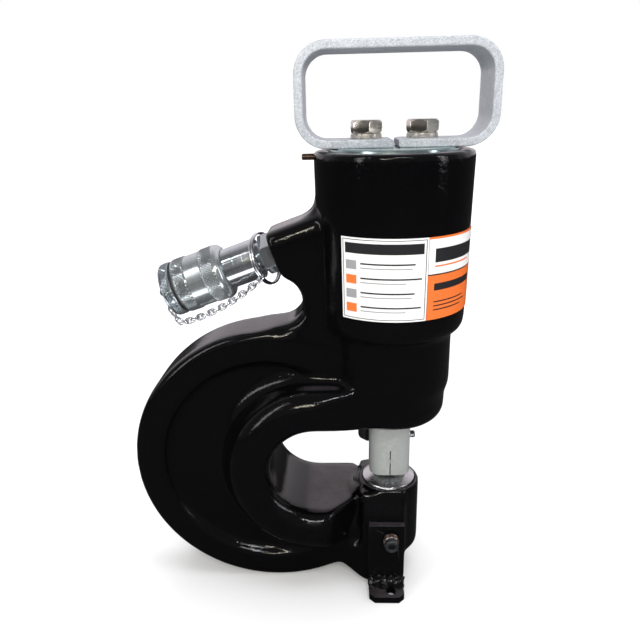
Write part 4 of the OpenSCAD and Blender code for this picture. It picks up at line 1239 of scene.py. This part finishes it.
class CylinderHead(SubAssembly):
    """End cap, lock pin and the bolted carry handle."""

    form = HandleForm()

    def _centre_line(self) -> list[tuple[float, float, float]]:
        """Points of the bar's middle line in X and Z, with the angle of its outward side.

        Returns:
            X, Z and angle of each point.
        """
        f = self.form
        half, r = f.bar_t / 2, f.corner - f.bar_t / 2
        w, low, high = f.width / 2 - half, f.base_z + half, f.base_z + f.height - half
        line = [(f.gap / 2, low, -90.0), (f.gap / 2 + f.end_step, low, -90.0), (w - r, low, -90.0)]
        corners = [
            (w - r, low + r, -90.0), (w - r, high - r, 0.0),
            (-w + r, high - r, 90.0), (-w + r, low + r, 180.0),
        ]
        for cx, cz, start in corners:
            for i in range(f.corner_steps + 1):
                a = start + 90.0 * i / f.corner_steps
                line.append((cx + r * math.cos(math.radians(a)), cz + r * math.sin(math.radians(a)), a))
        line += [(-f.gap / 2 - f.end_step, low, 270.0), (-f.gap / 2, low, 270.0)]
        return line

    def _section(self) -> list[tuple[float, float]]:
        """Section of the flat bar, with rounded edges between flat margins.

        Returns:
            Distance outward and across of each point.
        """
        f = self.form
        t, w, e = f.bar_t / 2, f.bar_w / 2, f.edge
        loop = []
        for sx, sy, start in ((1, 1, 0.0), (-1, 1, 90.0), (-1, -1, 180.0), (1, -1, 270.0)):
            for i in range(-1, f.edge_steps + 2):
                a = math.radians(start + 90.0 * min(max(i, 0), f.edge_steps) / f.edge_steps)
                aside = f.margin * ((i > f.edge_steps) - (i < 0))
                loop.append((
                    sx * (t - e) + e * math.cos(a) - aside * math.sin(a),
                    sy * (w - e) + e * math.sin(a) + aside * math.cos(a),
                ))
        return loop

    def handle(self) -> bpy.types.Object:
        """Bends the flat bar to its loop.

        Returns:
            The handle.
        """
        f = self.form
        section, line = self._section(), self._centre_line()
        rows = []
        for i, (x, z, a) in enumerate(line):
            shrink = f.end_shrink if i in (0, len(line) - 1) else 0.0
            c, s = math.cos(math.radians(a)), math.sin(math.radians(a))
            for out, across in section:
                out = math.copysign(max(abs(out) - shrink, 0.0), out)
                across = math.copysign(max(abs(across) - shrink, 0.0), across)
                rows.append((x + out * c, across, z + out * s))
        size = len(line), len(section)
        faces = grid_faces(*size, False) + end_faces(*size)
        return solid("handle_bar", np.array(rows) * MM, faces, 50.0)

    def build(self) -> None:
        """Builds the head's pieces and places them."""
        self.put(self.handle(), Body.FRAME, Slot.ZINC_HANDLE, "carry_handle")
        self.ease("handle_bolts", 0.18, Body.FRAME, Slot.ZINC_BOLT)
        self.ease("handle_washers", 0.5, Body.FRAME, Slot.WASHER_STEEL)
        self.ease("end_cap", 0.4, Body.FRAME, Slot.ZINC_CAP)
        self.ease("cap_lock_pin", 1.3, Body.FRAME, Slot.PIN_BROWN, 4)
        self.dress(Slot.SEAL_RUBBER, "cap_o_ring")


@dataclass
class Coupler:
    """Sizes of the screw coupler, its dust cap and its chain, in millimetres."""

    tilt: float = 19.5
    port_back: float = 78.2
    port_z: float = 251.2
    body_bore_r: float = 9.7
    body_r: float = 13.7
    bead_h: float = 0.35
    groove_depth: float = 0.25
    scribes: tuple[float, float] = (9.0, 15.8)
    scribe_depth: float = 0.3
    land_r: float = 12.9
    body_start: float = 11.0
    body_end: float = 57.0
    collar_start: float = 34.5
    collar_h: float = 34.6
    collar_r: float = 19.0
    collar_round: float = 4.5
    collar_edge: float = 0.8
    collar_bore_r: float = 16.3
    collar_grip: float = 7.0
    waist: float = 0.8
    waist_step: float = 0.35
    knurl_h: float = 9.5
    knurl_count: int = 52
    knurl_samples: int = 4
    knurl_depth: float = 0.8
    knurl_fade: float = 0.5
    cap_gap: float = 1.8
    cap_r: float = 18.7
    cap_h: float = 7.5
    cap_edge: float = 0.6
    cap_round: float = 1.6
    cap_dish: float = 0.35
    plug_h: float = 10.0
    recess_r: float = 9.0
    clear: float = 0.3
    adapter_h: float = 8.0
    adapter_flats: float = 24.0
    ring_r: float = 17.4
    ring_wire: float = 1.2
    ring_split: float = 8.0
    ring_offset: float = 10.0
    ring_wind: float = 0.5
    ring_turn: float = 62.0
    ring_lean: float = 18.0
    ring_out: float = 3.7
    strand: float = 0.85
    wire: float = 0.74
    link_r: float = 1.75
    link_hole: float = 4.9
    link_twist: float = 22.0
    sag: float = 4.5
    hang_share: float = 0.82
    rivet_h: float = 3.2
    eye_wire: float = 0.65

    @property
    def place(self) -> Matrix:
        """Matrix of the coupler's own frame: X up, Y across, Z out along the coupler."""
        turn = Matrix.Rotation(math.radians(-90.0 - self.tilt), 4, "Y")
        return Matrix.Translation((-self.port_back * MM, 0.0, self.port_z * MM)) @ turn

    @property
    def cap_start(self) -> float:
        """Distance of the dust cap's inner face from the port face."""
        return self.collar_start + self.collar_h + self.cap_gap

    @property
    def cap_end(self) -> float:
        """Distance of the dust cap's outer face from the port face."""
        return self.cap_start + self.cap_h

    @property
    def ring_drop(self) -> float:
        """Drop of the ring's centre below the coupler's axis."""
        corner_r = self.adapter_flats / 2 / math.cos(math.radians(30))
        return self.ring_r - self.ring_wire - corner_r - self.clear


class CouplerSet(SubAssembly):
    """Screw coupler with its valve, collar, dust cap, ring and chain."""

    form = Coupler()

    def _knurl(self, *bands: tuple[float, float]) -> Relief:
        """Pattern of raised diamonds within bands.

        Args:
            bands: Start and end of each band.

        Returns:
            Function that gives the pattern's height.
        """
        f = self.form
        pitch = 2 * math.pi * f.collar_r / f.knurl_count

        def wave(value: np.ndarray) -> np.ndarray:
            """Triangle wave from 0 to 1."""
            return np.abs(2 * (value - np.floor(value + 0.5)))

        def height(turn: np.ndarray, along: float) -> np.ndarray:
            """Height of the pattern along one ring of points.

            Args:
                turn: Angle of each point.
                along: Distance of the ring.

            Returns:
                Height at each point.
            """
            for start, end in bands:
                if start < along < end:
                    u = turn * f.knurl_count / (2 * math.pi)
                    v = (along - start) / pitch
                    ease = min(1.0, (along - start) / f.knurl_fade, (end - along) / f.knurl_fade)
                    peak = np.clip(np.minimum(wave(u + v), wave(u - v)) * 1.4 - 0.2, 0.0, 1.0)
                    return f.knurl_depth * ease * peak
            return np.zeros_like(turn)

        return height

    def _band_rows(self, start: float, end: float, radius: float) -> list[Row]:
        """Rows of a knurled band.

        Args:
            start: Start of the band.
            end: End of the band.
            radius: Radius over the diamonds.

        Returns:
            Radius and distance of each row.
        """
        f = self.form
        step = 2 * math.pi * f.collar_r / f.knurl_count / f.knurl_samples
        count = max(2, round((end - start) / step))
        return [(radius - f.knurl_depth, start + (end - start) * i / count) for i in range(count + 1)]

    def collar(self) -> bpy.types.Object:
        """Turns and knurls the collar.

        Returns:
            The collar.
        """
        f = self.form
        waist_r, edge, step = f.collar_r - f.waist, f.collar_edge, f.waist_step
        first = (f.collar_round, f.collar_round + f.knurl_h)
        second = (f.collar_h - f.knurl_h, f.collar_h - edge)
        rows: list[Row] = [
            (f.collar_bore_r, f.collar_h), (f.collar_bore_r, f.collar_grip),
            (f.land_r + 0.1, f.collar_grip), (f.land_r + 0.1, 0.0),
        ]
        shoulder = f.collar_round
        for i in range(9):
            a = math.radians(-90 + 90 * i / 8)
            radius = f.collar_r - 0.15 - shoulder + shoulder * math.cos(a)
            rows.append((radius, shoulder + shoulder * math.sin(a)))
        rows += self._band_rows(*first, f.collar_r)
        rows += [
            (waist_r, first[1] + step), (waist_r, first[1] + edge), (waist_r, second[0] - edge),
            (waist_r, second[0] - step),
        ]
        rows += self._band_rows(*second, f.collar_r)
        rows += [(f.collar_r - 0.5, f.collar_h - 0.4), (f.collar_r - edge - 0.3, f.collar_h)]
        place = f.place @ Matrix.Translation((0, 0, f.collar_start * MM))
        columns = f.knurl_count * f.knurl_samples
        return lathe("knurled_collar", rows, columns, place, self._knurl(first, second), angle=38.0)

    def dust_cap(self) -> bpy.types.Object:
        """Turns and knurls the dust cap.

        Returns:
            The dust cap.
        """
        f = self.form
        plug_r, low, high = f.collar_bore_r - f.clear, f.cap_edge, f.cap_h - f.cap_round
        rows: list[Row] = [
            (0.0, -1.0), (f.recess_r, -1.0), (f.recess_r, -f.plug_h), (plug_r - f.cap_edge, -f.plug_h),
            (plug_r, -f.plug_h + f.cap_edge), (plug_r, 0.0), (f.cap_r - f.cap_edge, 0.0),
        ]
        rows += self._band_rows(low, high, f.cap_r)
        for i in range(6):
            a = math.radians(90 * i / 5)
            rows.append((f.cap_r - 1.9 + f.cap_round * math.cos(a), high + f.cap_round * math.sin(a)))
        floor = f.cap_h - f.cap_dish
        rows += [(f.cap_r - 4.5, f.cap_h), (f.cap_r - 5.0, floor), (0.0, floor)]
        place = f.place @ Matrix.Translation((0, 0, f.cap_start * MM))
        columns = f.knurl_count * f.knurl_samples
        knurl = self._knurl((low, high))
        return lathe("knurled_dust_cap", rows, columns, place, knurl, ring=False, angle=38.0)

    def body(self) -> bpy.types.Object:
        """Turns the coupler body with its bead and scribed lines.

        Returns:
            The body.
        """
        f = self.form
        s, r = f.body_start, f.body_r
        bead, groove, deep = r + f.bead_h, r - f.groove_depth, f.scribe_depth
        rows: list[Row] = [
            (f.body_bore_r, s), (r - 0.3, s), (bead, s + 0.5), (bead, s + 1.7), (groove, s + 2.2),
            (groove, s + 2.7), (r, s + 3.1),
        ]
        for scribe in f.scribes:
            line = s + scribe
            rows += [(r, line - deep), (r - deep, line - 0.1), (r - deep, line + 0.1), (r, line + deep)]
        rows += [
            (r, f.collar_start - 0.5), (f.land_r, f.collar_start - 0.35), (f.land_r, f.body_end - 0.8),
            (f.land_r - 0.8, f.body_end), (f.body_bore_r, f.body_end),
        ]
        return lathe("coupler_barrel", rows, 96, f.place, angle=30.0)

    def ring(self) -> bpy.types.Object:
        """Winds the split ring, which hangs askew, in two strands that touch.

        Returns:
            The ring.
        """
        f = self.form
        c, s = math.cos(math.radians(f.ring_lean)), math.sin(math.radians(f.ring_lean))
        count = 96
        skins = []
        for side in (-1, 1):
            open_turn = np.linspace(f.ring_split, 360.0 - f.ring_split, count)
            turn = np.radians(open_turn + 90.0 + f.ring_offset * side)
            lift = side * f.strand * np.cos(np.linspace(0, f.ring_wind, count))
            across = f.ring_r * np.sin(turn)
            up = -f.ring_drop + f.ring_r * np.cos(turn)
            out = f.adapter_h / 2 + f.ring_out - across * s + lift * c
            path = np.stack([up, across * c + lift * s, out], axis=1)
            skins.append(tube_points(path, f.strand - 0.04, 12, False))
        points, faces = join_skins(skins)
        return solid("split_ring", moved(f.place, points), faces, 60.0)

    def route(self) -> np.ndarray:
        """Route of the chain in the coupler's own frame, evenly spaced at the links' joints.

        Returns:
            Points in millimetres.
        """
        f = self.form
        a, lean = math.radians(f.ring_turn), math.radians(f.ring_lean)
        eye = 2 * f.link_r - f.wire
        eye_at = f.cap_end + f.rivet_h / 2 + 2 * f.link_r
        ring_at = f.adapter_h / 2 + f.ring_out + f.ring_r * math.sin(a) * math.sin(lean)
        start = np.array([
            -f.ring_drop - f.ring_r * math.cos(a), -f.ring_r * math.sin(a) * math.cos(lean),
            ring_at - f.ring_wire - f.clear / 2,
        ])
        low = np.array([-f.collar_r - 3 * f.link_r, 0, f.cap_end + f.rivet_h])
        turn = np.array([-f.collar_r + f.link_r, 0, f.cap_end + 2 * f.rivet_h])
        end = np.array([-eye + f.eye_wire + f.clear / 2, 0, eye_at])
        points = []
        for t in np.linspace(0, 1, 241):
            if t < f.hang_share:
                s = t / f.hang_share
                points.append(start + (low - start) * s - np.array([4 * f.sag * s * (1 - s), 0, 0]))
            else:
                s = (t - f.hang_share) / (1 - f.hang_share)
                points.append((1 - s) ** 2 * low + 2 * s * (1 - s) * turn + s * s * end)
        path = np.array(points)
        reached = np.concatenate([[0], np.cumsum(np.linalg.norm(np.diff(path, axis=0), axis=1))])
        count = int(reached[-1] / (f.link_hole - f.clear))
        marks = np.linspace(0, reached[-1], count + 1)
        return np.stack([np.interp(marks, reached, path[:, k]) for k in range(3)], axis=1)

    def _link(self, half: float, radius: float, twist: float) -> np.ndarray:
        """Middle line of one twisted link along local X.

        Args:
            half: Half length of its hole.
            radius: Mean radius of its ends.
            twist: Angle in degrees by which each end is turned.

        Returns:
            Points in millimetres.
        """
        straight = half - radius + self.form.wire
        arc = np.radians(np.linspace(-90, 90, 12))
        right = np.stack([straight + radius * np.cos(arc), radius * np.sin(arc)], axis=1)
        loop = np.concatenate([right, -right])
        turn = np.radians(twist) * loop[:, 0] / (straight + radius)
        return np.stack([loop[:, 0], loop[:, 1] * np.cos(turn), loop[:, 1] * np.sin(turn)], axis=1)

    def chain(self) -> bpy.types.Object:
        """Hooks the links together along their route.

        Returns:
            The chain.
        """
        f = self.form
        joints = self.route()
        count = len(joints) - 1
        a = math.radians(f.ring_turn)
        first = np.array([math.sin(a), -math.cos(a), 0.0])
        last = np.array([0.0, -1.0, 0.0]) if count % 2 == 0 else np.array([0.0, 0.0, 1.0])
        skins = []
        for i in range(count):
            x = joints[i + 1] - joints[i]
            half = np.linalg.norm(x) / 2 + f.clear / 2
            x = x / np.linalg.norm(x)
            aim = first + (last - first) * i / (count - 1)
            flat = aim - x * np.dot(aim, x)
            flat = flat / np.linalg.norm(flat)
            across = np.cross(x, flat)
            z = flat if i % 2 == 0 else across
            if 0 < i < count - 1:
                z = flat + across if i % 2 else flat - across
                z = z / np.linalg.norm(z)
            radius = 2 * f.strand + f.wire + f.clear / 2 if i == 0 else f.link_r
            twist = 0.0 if i in (0, count - 1) else f.link_twist
            turn = np.stack([x, np.cross(z, x), z])
            line = (joints[i] + joints[i + 1]) / 2 + self._link(half, radius, twist) @ turn
            skins.append(tube_points(line, f.wire, 8, True))
        points, faces = join_skins(skins)
        return solid("dust_cap_chain", moved(f.place, points), faces, 60.0)

    def build(self) -> None:
        """Builds the coupler's pieces and places them."""
        self.ease("port_adapter", 0.4, Body.FRAME, Slot.ZINC_COUPLER)
        self.put(self.body(), Body.FRAME, Slot.ZINC_COUPLER, "coupler_body")
        self.put(self.collar(), Body.COLLAR, Slot.ZINC_COLLAR, "coupler_collar")
        self.put(self.dust_cap(), Body.DUST_CAP, Slot.ZINC_DUST_CAP, "dust_cap")
        self.put(self.ring(), Body.FRAME, Slot.CHAIN_ZINC, "chain_ring")
        chain = self.put(self.chain(), Body.FRAME, Slot.CHAIN_ZINC, "cap_chain", ride=False)
        joints = moved(self.form.place, self.route())
        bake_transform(chain)
        self.dress(Slot.CHAIN_ZINC, "cap_rivet")
        self.dress(Slot.SPRING_STEEL, "collar_retainer")
        self.dress(Slot.SEAL_RUBBER, "coupler_seal", "cap_seal")
        self.dress(Slot.BRONZE, "valve_poppet")
        self.dress(Slot.GROUND_STEEL, "valve_plug")


@dataclass
class SpringForm:
    """Sizes of a wound spring, in millimetres."""

    name: str
    node: str
    mean_r: float
    wire: float
    turns: float
    start: float
    end: float
    moving: Body
    turn_steps: int = 36


class PunchSet(SubAssembly):
    """Ram, springs, punch, stripper and die."""

    springs = (
        SpringForm("return_spring_wire", "return_spring", 23.0, 2.25, 8, 160.0, 237.95, Body.RAM),
        SpringForm("valve_spring_wire", "valve_spring", 7.9, 0.6, 6, 29.0, 44.65, Body.POPPET),
    )

    def spring(self, form: SpringForm, place: Matrix) -> None:
        """Winds a spring in place of its CAD node, riding on no body.

        Args:
            form: Its sizes.
            place: Matrix of the frame whose Z is its axis.
        """
        count = int(form.turns * form.turn_steps)
        t = np.linspace(0, 1, count + 1)
        turn = 2 * math.pi * form.turns * t
        rise = form.start + form.wire + (form.end - form.start - 2 * form.wire) * t
        path = np.stack([form.mean_r * np.cos(turn), form.mean_r * np.sin(turn), rise], axis=1)
        points, faces = tube_points(path, form.wire, 12, False)
        obj = solid(form.name, moved(place, points), faces, 50.0)
        self.put(obj, Body.FRAME, Slot.SPRING_STEEL, form.node, ride=False)
        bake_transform(obj)

    def build(self) -> None:
        """Builds the set's pieces and places them."""
        self.spring(self.springs[0], Matrix.Identity(4))
        self.spring(self.springs[1], Coupler().place)
        self.ease("stripper_sleeve", 0.5, Body.STRIPPER, Slot.SATIN_GREY)
        self.ease("stripper_stop_screw", 0.25, Body.STRIPPER, Slot.ZINC_COUPLER)
        self.ease("stripper_knob", 0.3, Body.KNOB, Slot.KNOB_BLACK)
        self.ease("die", 0.35, Body.FRAME, Slot.DIE_STEEL)
        self.dress(Slot.GROUND_STEEL, "piston", "ram_rod", "guide_tube")
        self.dress(Slot.SEAL_RUBBER, "piston_seal", "rod_wiper")
        self.dress(Slot.GUIDE_RESIN, "piston_wear_band")
        self.dress(Slot.BRONZE, "rod_bush")
        self.dress(Slot.DIE_STEEL, "punch")


@dataclass
class FootForm:
    """Sizes of the foot brackets and their welds, in millimetres."""

    back_w: float = 16.0
    front_w: float = 9.5
    corner_y: float = 33.5
    plate: float = 5.0
    weld_r: float = 4.3
    weld_points: int = 64
    ripples: tuple[tuple[float, float, float], ...] = ((1.1, 1.9, 0.0), (0.7, 4.3, 0.8), (0.6, 0.9, 2.0))
    ripple_share: float = 0.6
    screw_z: float = 44.5
    screw_r: float = 5.0
    thread_h: float = 4.4
    thread_pitch: float = 1.1
    thread_depth: float = 0.45
    thread_gap: float = 0.1
    thread_wall: float = 1.0


class BenchFeet(SubAssembly):
    """Foot brackets with their welds and screws."""

    form = FootForm()

    def weld(self, name: str, side: int) -> bpy.types.Object:
        """Lays a lumpy bead in a bracket's corner.

        Args:
            name: Name of the piece.
            side: -1 in front, 1 behind.

        Returns:
            The bead.
        """
        f = self.form
        x = np.linspace(-f.back_w + 2.4, f.front_w - 0.6, f.weld_points)
        ripple = sum(size * np.sin(x * rate + shift) for size, rate, shift in f.ripples)
        y = side * (f.corner_y + 1.2 + 0.5 * np.sin(x * 1.7))
        z = f.plate + 2.6 + 0.8 * np.sin(x * 1.3 + 1.0)
        ends = np.minimum(1.0, np.minimum(x - x[0], x[-1] - x) / 1.2 + 0.35)
        path = np.stack([x, y, z], axis=1)
        points, faces = tube_points(path, (f.weld_r + f.ripple_share * ripple) * ends, 18, False)
        return solid(name, points * MM, faces, 70.0)

    def thread(self) -> bpy.types.Object:
        """Turns the thread that shows between the bracket and the end of the die screw.

        Returns:
            The thread.
        """
        f = self.form
        core, root = f.screw_r - f.thread_wall, f.screw_r + f.thread_gap
        rows: list[Row] = [(core, f.thread_h), (core, f.thread_gap)]
        for i in range(int(f.thread_h / f.thread_pitch)):
            start = f.thread_gap + i * f.thread_pitch
            rows += [(root, start), (root + f.thread_depth, start + f.thread_pitch / 2)]
        rows.append((root, f.thread_h))
        bracket_face = Matrix.Translation((0, -f.corner_y * MM, f.screw_z * MM))
        place = bracket_face @ Matrix.Rotation(math.pi / 2, 4, "X")
        return lathe("die_screw_thread", rows, 48, place, angle=30.0)

    def build(self) -> None:
        """Builds the feet's pieces and places them."""
        for side, word in ((-1, "front"), (1, "back")):
            self.ease("foot_bracket_" + word, 0.7, Body.FRAME, Slot.BRACKET_PAINT, 3)
            self.put(self.weld("weld_bead_" + word, side), Body.FRAME, Slot.BRACKET_PAINT)
        self.ease("die_screw", 0.35, Body.DIE_SCREW, Slot.SCREW_DARK)
        self.put(self.thread(), Body.DIE_SCREW, Slot.PIN_BROWN)
        self.ease("back_bracket_screw", 0.35, Body.FRAME, Slot.SCREW_DARK)


# Camera, light and floor

@dataclass(frozen=True)
class PhotoCamera:
    """Camera of the photograph, in millimetres and degrees; its focal length is in pixels of the image."""

    focal: float = 604.912
    image: float = 640.0
    sensor: float = 36.0
    pitch: float = 19.016
    yaw: float = -2.302
    roll: float = 1.339
    position: tuple[float, float, float] = (-33.194, -397.625, 339.304)

    def build(self) -> None:
        """Makes the camera."""
        p, w, r = (math.radians(v) for v in (self.pitch, self.yaw, self.roll))
        ahead = Vector((math.sin(w) * math.cos(p), math.cos(w) * math.cos(p), -math.sin(p)))
        right = Vector((math.cos(w), -math.sin(w), 0.0))
        down = ahead.cross(right)
        side = math.cos(r) * right + math.sin(r) * down
        below = -math.sin(r) * right + math.cos(r) * down
        data = bpy.data.cameras.new("photo_camera")
        data.sensor_fit = "HORIZONTAL"
        data.sensor_width = self.sensor
        data.lens = self.focal * self.sensor / self.image
        data.clip_start, data.clip_end = 0.01, 50.0
        camera = bpy.data.objects.new("photo_camera", data)
        turn = Matrix((side, -below, -ahead)).transposed().to_4x4()
        camera.matrix_world = Matrix.Translation(Vector(self.position) * MM) @ turn
        bpy.context.scene.collection.objects.link(camera)
        bpy.context.scene.camera = camera


@dataclass(frozen=True)
class SoftBox:
    """One soft lamp: place, aim and size in metres, power, colour and whether gloss shows it."""

    name: str
    at: tuple[float, float, float]
    aim: tuple[float, float, float]
    size: tuple[float, float]
    power: float
    color: Color = (1.0, 1.0, 1.0)
    mirrored: bool = True

    def build(self) -> bpy.types.Object:
        """Makes the lamp.

        Returns:
            The lamp.
        """
        data = bpy.data.lights.new(self.name, "AREA")
        data.shape = "RECTANGLE"
        data.size, data.size_y = self.size
        data.energy = self.power
        data.color = self.color
        lamp = bpy.data.objects.new(self.name, data)
        lamp.visible_glossy = self.mirrored
        lamp.visible_camera = False
        look = Vector(self.aim) - Vector(self.at)
        lamp.matrix_world = Matrix.Translation(self.at) @ look.to_track_quat("-Z", "Y").to_matrix().to_4x4()
        bpy.context.scene.collection.objects.link(lamp)
        return lamp


class Studio:
    """Pale floor, white background and soft light."""

    lamps = (
        SoftBox(
            "overhead_box", (0.0, 0.10, 1.25), (0.0, 0.0, 0.15), (1.3, 1.0), 14.0, (0.97, 0.96, 1.0), False,
        ),
        SoftBox(
            "front_fill", (0.10, -1.3, 0.80), (0.0, 0.0, 0.18), (0.9, 0.7), 7.0, (1.0, 0.99, 0.98), False,
        ),
        SoftBox("left_strip", (-0.95, -0.75, 0.75), (-0.05, 0.0, 0.20), (0.12, 1.0), 2.4, (1.0, 0.98, 1.0)),
        SoftBox("right_strip", (1.00, -0.45, 0.65), (0.0, 0.0, 0.22), (0.14, 0.9), 2.0, (0.97, 0.96, 1.0)),
        SoftBox("warm_tube", (-0.25, -1.10, 0.72), (-0.05, 0.0, 0.15), (0.35, 0.03), 2.4, (1.0, 0.95, 0.78)),
        SoftBox("cool_tube", (0.15, -0.95, 1.00), (0.0, 0.0, 0.15), (0.35, 0.03), 2.4, (0.94, 0.97, 1.0)),
    )
    plated = (
        Slot.ZINC_CAP, Slot.ZINC_COUPLER, Slot.ZINC_COLLAR, Slot.ZINC_DUST_CAP, Slot.CHAIN_ZINC,
        Slot.DIE_STEEL,
    )
    linked_lamps = (
        (SoftBox("low_card", (-0.20, -0.16, 0.015), (-0.15, -0.05, 0.30), (0.7, 0.14), 0.7), plated),
        (SoftBox("side_card", (-0.75, -0.70, 0.45), (-0.10, 0.0, 0.25), (0.30, 0.8), 1.3), plated),
        (
            SoftBox("right_card", (0.75, -0.22, 0.12), (0.0, 0.0, 0.33), (0.30, 0.30), 0.5),
            (Slot.ZINC_BOLT, Slot.WASHER_STEEL),
        ),
        (
            SoftBox("weld_lamp", (0.10, -0.55, 0.60), (0.0, -0.035, 0.01), (0.16, 0.12), 1.1),
            (Slot.BRACKET_PAINT,),
        ),
    )
    ambient = 0.50
    front_shine = 0.12
    back_shine = 0.8
    top_shine = 0.12
    back_range = (-0.05, 0.65)
    top_range = (0.35, 0.95)
    shine_color: Color = (1.0, 0.93, 0.98)
    floor_color: Color = (0.86, 0.86, 0.86)
    floor_mirrored: Color = (0.035, 0.034, 0.035)
    floor_half = 12.0
    glow_near = 0.02
    glow_far = 0.80
    glow_range = (0.35, 1.2)

    def world(self) -> None:
        """White behind the object, an even soft light and a darker horizon in reflections."""
        world = bpy.data.worlds.new("studio")
        world.use_nodes = True
        bpy.context.scene.world = world
        graph = Graph(world.node_tree)
        shader = world.node_tree.nodes["Background"]
        path = graph.node("ShaderNodeLightPath")
        _, y, z = graph.parts(graph.node("ShaderNodeTexCoord").outputs["Generated"])
        behind = graph.ramp(y, *self.back_range, self.front_shine, self.back_shine)
        above = graph.ramp(z, *self.top_range, 0.0, self.top_shine)
        shine = graph.math("MAXIMUM", behind, above)
        glossy = path.outputs["Is Glossy Ray"]
        rest = graph.times(graph.math("SUBTRACT", 1.0, glossy), self.ambient)
        seen = graph.math("MAXIMUM", path.outputs["Is Camera Ray"], path.outputs["Is Transmission Ray"])
        light = graph.plus(rest, graph.times(glossy, shine))
        graph.feed(shader.inputs["Color"], graph.mix(glossy, (1.0, 1.0, 1.0), self.shine_color))
        graph.feed(shader.inputs["Strength"], graph.math("MAXIMUM", seen, light))

    def floor(self) -> None:
        """Pale floor that keeps a soft shadow and is white to the camera elsewhere."""
        half = self.floor_half
        corners = [(-half, -half, 0), (half, -half, 0), (half, half, 0), (-half, half, 0)]
        mesh = bpy.data.meshes.new("floor")
        mesh.from_pydata(corners, [], [(0, 1, 2, 3)])
        floor = new_object("floor", mesh)
        material, graph, shader = new_material("pale_floor")
        path = graph.node("ShaderNodeLightPath")
        shown = graph.mix(path.outputs["Is Glossy Ray"], self.floor_color, self.floor_mirrored)
        graph.feed(shader.inputs["Base Color"], shown)
        shader.inputs["Roughness"].default_value = 0.9
        shader.inputs["Specular IOR Level"].default_value = 0.1
        seen = graph.math("MAXIMUM", path.outputs["Is Camera Ray"], path.outputs["Is Transmission Ray"])
        shader.inputs["Emission Color"].default_value = (1.0, 1.0, 1.0, 1.0)
        away = graph.node("ShaderNodeVectorMath", {"Vector": graph.where()}, operation="LENGTH")
        glow = graph.ramp(away.outputs["Value"], *self.glow_range, self.glow_near, self.glow_far)
        graph.feed(shader.inputs["Emission Strength"], graph.times(seen, glow))
        mesh.materials.append(material)

    def link_lamps(self, finishes: Finishes) -> None:
        """Sets up the lamps that only some finishes see.

        Args:
            finishes: Material of each slot.
        """
        for lamp, slots in self.linked_lamps:
            lit = {finishes[slot] for slot in slots}
            receivers = bpy.data.collections.new(lamp.name + "_receivers")
            for obj in bpy.context.scene.objects:
                if obj.type == "MESH" and lit & set(obj.data.materials):
                    receivers.objects.link(obj)
            lamp.build().light_linking.receiver_collection = receivers

    def build(self) -> None:
        """Builds the studio."""
        for lamp in self.lamps:
            lamp.build()
        self.world()
        self.floor()
        bpy.context.scene.view_settings.view_transform = "Standard"


def main() -> None:
    """Builds the camera, the studio and every sub-assembly."""
    logging.basicConfig(level=logging.INFO, format="%(message)s")
    PhotoCamera().build()
    studio = Studio()
    studio.build()
    finishes = make_finishes(Effects())
    for assembly in (ForgedFrame, CylinderHead, CouplerSet, PunchSet, BenchFeet):
        assembly(finishes).build()
        LOG.info("%s done", assembly.__name__)
    studio.link_lamps(finishes)


if __name__ == "__main__":
    main()
